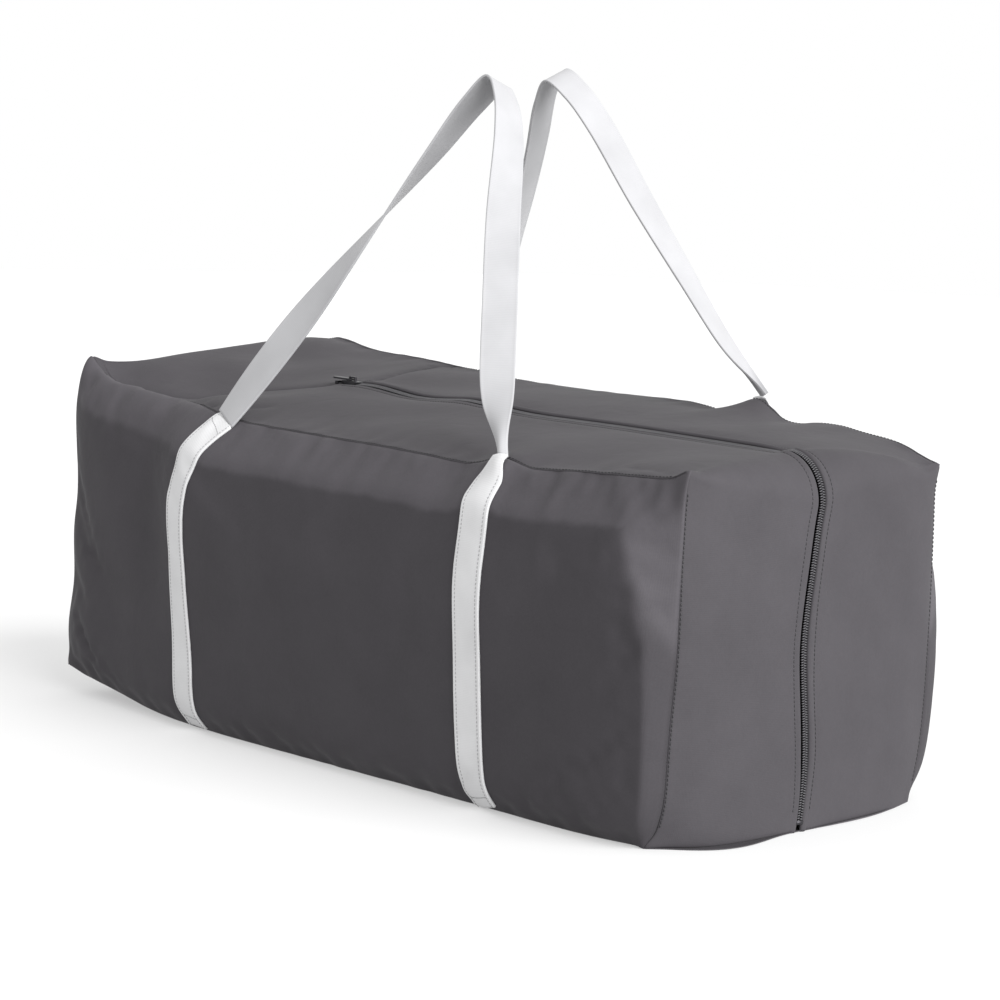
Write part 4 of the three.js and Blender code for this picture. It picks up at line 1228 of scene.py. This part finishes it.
class PLAYPEN_OT_loops(bpy.types.Operator):
    """Builds the two carrying loops: webbing that turns on its way up each leg and lies flat over the top"""

    bl_idname = "playpen.loops"
    bl_label = "Carrying loops"

    def execute(self, context):
        colours, sizes = context.scene.playpen_colours, context.scene.playpen_sizes
        # The loops get their own darker copy of the webbing: painted shade.
        webbing = polyester_webbing("Polyester webbing painted darker", colours.shaded_loop_webbing)
        section = ribbon_section(sizes.webbing_width, sizes.webbing_thickness, 0.28 * MM, 19)
        for name, loop in LOOPS.items():
            side = loop["side"]
            base = np.array([0, *loop["base"]]) * MM
            slope = np.array([0, *loop["top"]]) * MM - base
            height, up = np.linalg.norm(slope), unit(slope)
            along_x = np.array([1.0, 0, 0])
            outward = -side * np.cross(along_x, up)
            knots = [base + along_x * (x + loop["shift"] * (1 - share) * (x < 55)) * MM + up * share * height
                     for x, share in LOOP_POINTS]
            path = even_path(catmull_rom(knots, 2400), 340)
            tangent = unit(np.gradient(path, axis=0))
            v = np.linspace(0, 1, len(path))
            leg_share = np.where(v < APEX_SHARE, v / APEX_SHARE, (1 - v) / (1 - APEX_SHARE))
            turn = np.radians(np.where(v < APEX_SHARE, spline(leg_share, loop["left_turn"]),
                                       spline(leg_share, loop["right_turn"])))
            in_plane = np.cross(outward, tangent)
            face = outward * np.cos(turn)[:, None] + in_plane * np.sin(turn)[:, None]
            square = np.cross(tangent, face)
            level = along_x * np.where(v < APEX_SHARE, -side, side)[:, None]
            left_foot, right_foot = loop["square_feet"]
            squared = np.maximum(smooth(leg_share, 0, 0.14), np.where(v < APEX_SHARE, left_foot, right_foot))
            across = lerp(level, square, squared[:, None])
            pinch = sum(-(1 - narrow) * np.exp(-((away / 0.05) ** 2))
                        for narrow, away in zip(loop["gathers"], (v, 1 - v))) + 1
            made = sweep(f"webbing_loop_{name}", path, across, face, section, pinch)
            body = f"handle_{name}"
            give(outward_faces(made), webbing, body, [body])
        return {"FINISHED"}


# ---- The folded playpen inside ------------------------------------------------------------------------
def pillow(name, low, high, thin_axis, fullness, channels=0, ripple=0.0, seed=0):
    """A sewn pad in a box: two faces that swell from a shared edge by a soft corner, drawn in along evenly
    spaced sewn channels, and closed round the edge."""
    low, high = np.array(low), np.array(high)
    wide, tall = [axis for axis in range(3) if axis != thin_axis]
    size = high - low
    columns, rows = max(int(size[wide] / 0.006), 12), max(int(size[tall] / 0.006), 6)
    u = closer_at_ends(columns, 0.5)[:, None]
    turn = np.concatenate([closer_at_ends(rows, 0.5), closer_at_ends(rows, 0.5)[::-1][1:-1]])[None]
    front = np.concatenate([np.ones(rows), -np.ones(rows - 2)])[None]
    edge = np.minimum(np.minimum(u, 1 - u) * size[wide], np.minimum(turn, 1 - turn) * size[tall])
    swell = soft_corner(edge, size[thin_axis] * 0.55, 2) * fullness
    if channels:
        phase = np.abs((u * channels + 0.5) % 1 - 0.5) / channels * size[wide]
        inner = (u > 0.5 / channels) & (u < 1 - 0.5 / channels)
        swell = swell * np.where(inner, 0.45 + 0.55 * soft_corner(phase, 0.012, 2), 1)
    place = np.zeros((columns, turn.shape[1], 3))
    place[..., wide] = low[wide] + u * size[wide]
    place[..., tall] = low[tall] + turn * size[tall]
    wave = 1 + ripple * noise(place, 0.045, seed) * soft_corner(edge, 0.02)
    middle = (low + high)[thin_axis] / 2
    place[..., thin_axis] = middle + front * swell * np.minimum(wave, 1) * size[thin_axis] / 2
    uv = np.stack(np.broadcast_arrays(u * size[wide], turn * size[tall]), -1)
    made = mesh_object(name, place, grid_faces(columns, turn.shape[1], wrap_columns=True), uv)
    return outward_faces(made)


class PLAYPEN_OT_pack(bpy.types.Operator):
    """Finishes the folded playpen inside the bag: tubes, mouldings, netting, quilted boards and straps"""

    bl_idname = "playpen.pack"
    bl_label = "Folded frame"

    def execute(self, context):
        colours = context.scene.playpen_colours
        tube = galvanised_tube("Powder-coated steel tube", linear("A9ABAD"))
        moulding = moulded_plastic("Moulded nylon", linear("2F2F32"))
        net = warp_knit_net("Warp-knit netting", linear("77767A"))
        quilt = woven_polyester("Quilted polyester cover", linear("6A696D"), 1.5 * MM)
        pile = hook_and_loop_pile("Hook-and-loop tape", linear("222224"))
        for node in frame["nodes"]:
            if node.startswith(("corner_post", "rail_front", "rail_back", "rail_left", "rail_right",
                                "floor_arm")):
                keep_node(node, tube)
            elif node.startswith(("corner_joint", "foot", "rail_lock", "floor_hub")):
                keep_node(node, moulding)
            elif node.startswith("wrap_strap"):
                keep_node(node, pile)
        for seed, node in enumerate(n for n in frame["nodes"] if n.startswith("mattress_board")):
            low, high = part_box(node)
            thin = int(np.argmin(high - low))
            made = pillow(node + "_quilted", low, high, thin, 0.97, channels=4, ripple=0.04, seed=seed)
            give(made, quilt, "bag", [node])
        for seed, node in enumerate(n for n in frame["nodes"] if n.startswith("mesh_side")):
            low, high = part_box(node)
            thin = int(np.argmin(high - low))
            made = pillow(node + "_folded", low, high, thin, 0.95, channels=24, ripple=0.15, seed=30 + seed)
            give(made, net, "bag", [node])
        return {"FINISHED"}


# ---- Stage ---------------------------------------------------------------------------------------------
# The camera's lens and sensor in millimetres, its direction and roll in degrees, and its place.
LENS, SENSOR = 91.95, 36.0
AZIMUTH, ELEVATION, ROLL = 46.52, 6.33, 1.76
EYE = (1.69565, -1.57257, 0.48373)
# The key light's strength, its width in the sky in degrees, and the way towards it.
KEY_STRENGTH, KEY_WIDTH, KEY_FROM = 5.7, 54, (0.90, 0.02, 0.42)


def camera_matrix(right, up, back, place):
    """A matrix whose columns are the way right, the way up, the way back and the place."""
    matrix = np.eye(4)
    matrix[:3, 0], matrix[:3, 1], matrix[:3, 2], matrix[:3, 3] = right, up, back, place
    return Matrix(matrix.tolist())


class PLAYPEN_OT_stage(bpy.types.Operator):
    """Sets the pale floor, the soft studio lights and the camera"""

    bl_idname = "playpen.stage"
    bl_label = "Stage"

    def execute(self, context):
        scene = context.scene
        floor = mesh_object("studio_floor", np.array([(-14, -14, 0), (14, -14, 0), (14, 14, 0), (-14, 14, 0)]),
                            np.array([[0, 1, 2, 3]]))
        paper, tree, shader, ramp, place = finish_named(
            "Matt white paper", linear("A6A6A6"), (1, 1), Roughness=0.9, Emission_Color=(1, 1, 1, 1),
            Emission_Strength=0.42, Specular_IOR_Level=0.1)
        ramp.color_ramp.elements[1].color = linear("ACACAC")
        grain = add_node(tree, "TexNoise", {"Vector": place, "Scale": 3.0})
        tree.links.new(grain.outputs["Fac"], ramp.inputs["Fac"])
        floor.data.materials.append(paper)

        world = bpy.data.worlds.new("Soft white surround")
        world.use_nodes = True
        background = world.node_tree.nodes["Background"]
        background.inputs["Color"].default_value = (1, 1, 1, 1)
        background.inputs["Strength"].default_value = 1.0
        scene.world = world
        scene.view_settings.view_transform = "Standard"

        light = bpy.data.lights.new("Wide soft key", "SUN")
        light.energy, light.angle = KEY_STRENGTH, math.radians(KEY_WIDTH)
        lamp = bpy.data.objects.new("Wide soft key", light)
        back = unit(np.array(KEY_FROM))
        right = unit(np.cross([0, 0, 1], back))
        lamp.matrix_world = camera_matrix(right, np.cross(back, right), back, back * 3)
        scene.collection.objects.link(lamp)

        camera = bpy.data.cameras.new("Camera")
        camera.lens, camera.sensor_width = LENS, SENSOR
        azimuth, elevation, roll = np.radians([AZIMUTH, ELEVATION, ROLL])
        back = np.array([math.sin(azimuth) * math.cos(elevation), -math.cos(azimuth) * math.cos(elevation),
                         math.sin(elevation)])
        right = unit(np.cross([0, 0, 1], back))
        up = np.cross(back, right)
        turned_right = math.cos(roll) * right + math.sin(roll) * up
        turned_up = math.cos(roll) * up - math.sin(roll) * right
        eye = bpy.data.objects.new("Camera", camera)
        eye.matrix_world = camera_matrix(turned_right, turned_up, back, EYE)
        scene.collection.objects.link(eye)
        scene.camera = eye
        return {"FINISHED"}


class PLAYPEN_PT_panel(bpy.types.Panel):
    """Lists the steps and their settings"""

    bl_idname = "PLAYPEN_PT_panel"
    bl_label = "Folded Playpen"
    bl_space_type = "VIEW_3D"
    bl_region_type = "UI"
    bl_category = "Playpen"

    def draw(self, context):
        for group in (context.scene.playpen_sizes, context.scene.playpen_colours):
            for key in group.bl_rna.properties.keys():
                if key not in ("rna_type", "name"):
                    self.layout.prop(group, key)
        for step in STEPS:
            self.layout.operator(step.bl_idname)


STEPS = (PLAYPEN_OT_stage, PLAYPEN_OT_bag, PLAYPEN_OT_seams, PLAYPEN_OT_zip, PLAYPEN_OT_legs, PLAYPEN_OT_loops,
         PLAYPEN_OT_pack)
CLASSES = (PLAYPEN_PG_colours, PLAYPEN_PG_sizes, *STEPS, PLAYPEN_PT_panel)


def register():
    """Registers the classes and hangs the settings on the scene."""
    for one in CLASSES:
        bpy.utils.register_class(one)
    bpy.types.Scene.playpen_colours = PointerProperty(type=PLAYPEN_PG_colours)
    bpy.types.Scene.playpen_sizes = PointerProperty(type=PLAYPEN_PG_sizes)


def unregister():
    """Takes the settings and the classes away again."""
    del bpy.types.Scene.playpen_sizes
    del bpy.types.Scene.playpen_colours
    for one in reversed(CLASSES):
        bpy.utils.unregister_class(one)


def main():
    """Builds everything in order."""
    register()
    for step in STEPS:
        group, name = step.bl_idname.split(".")
        getattr(getattr(bpy.ops, group), name)()


if __name__ == "__main__":
    main()
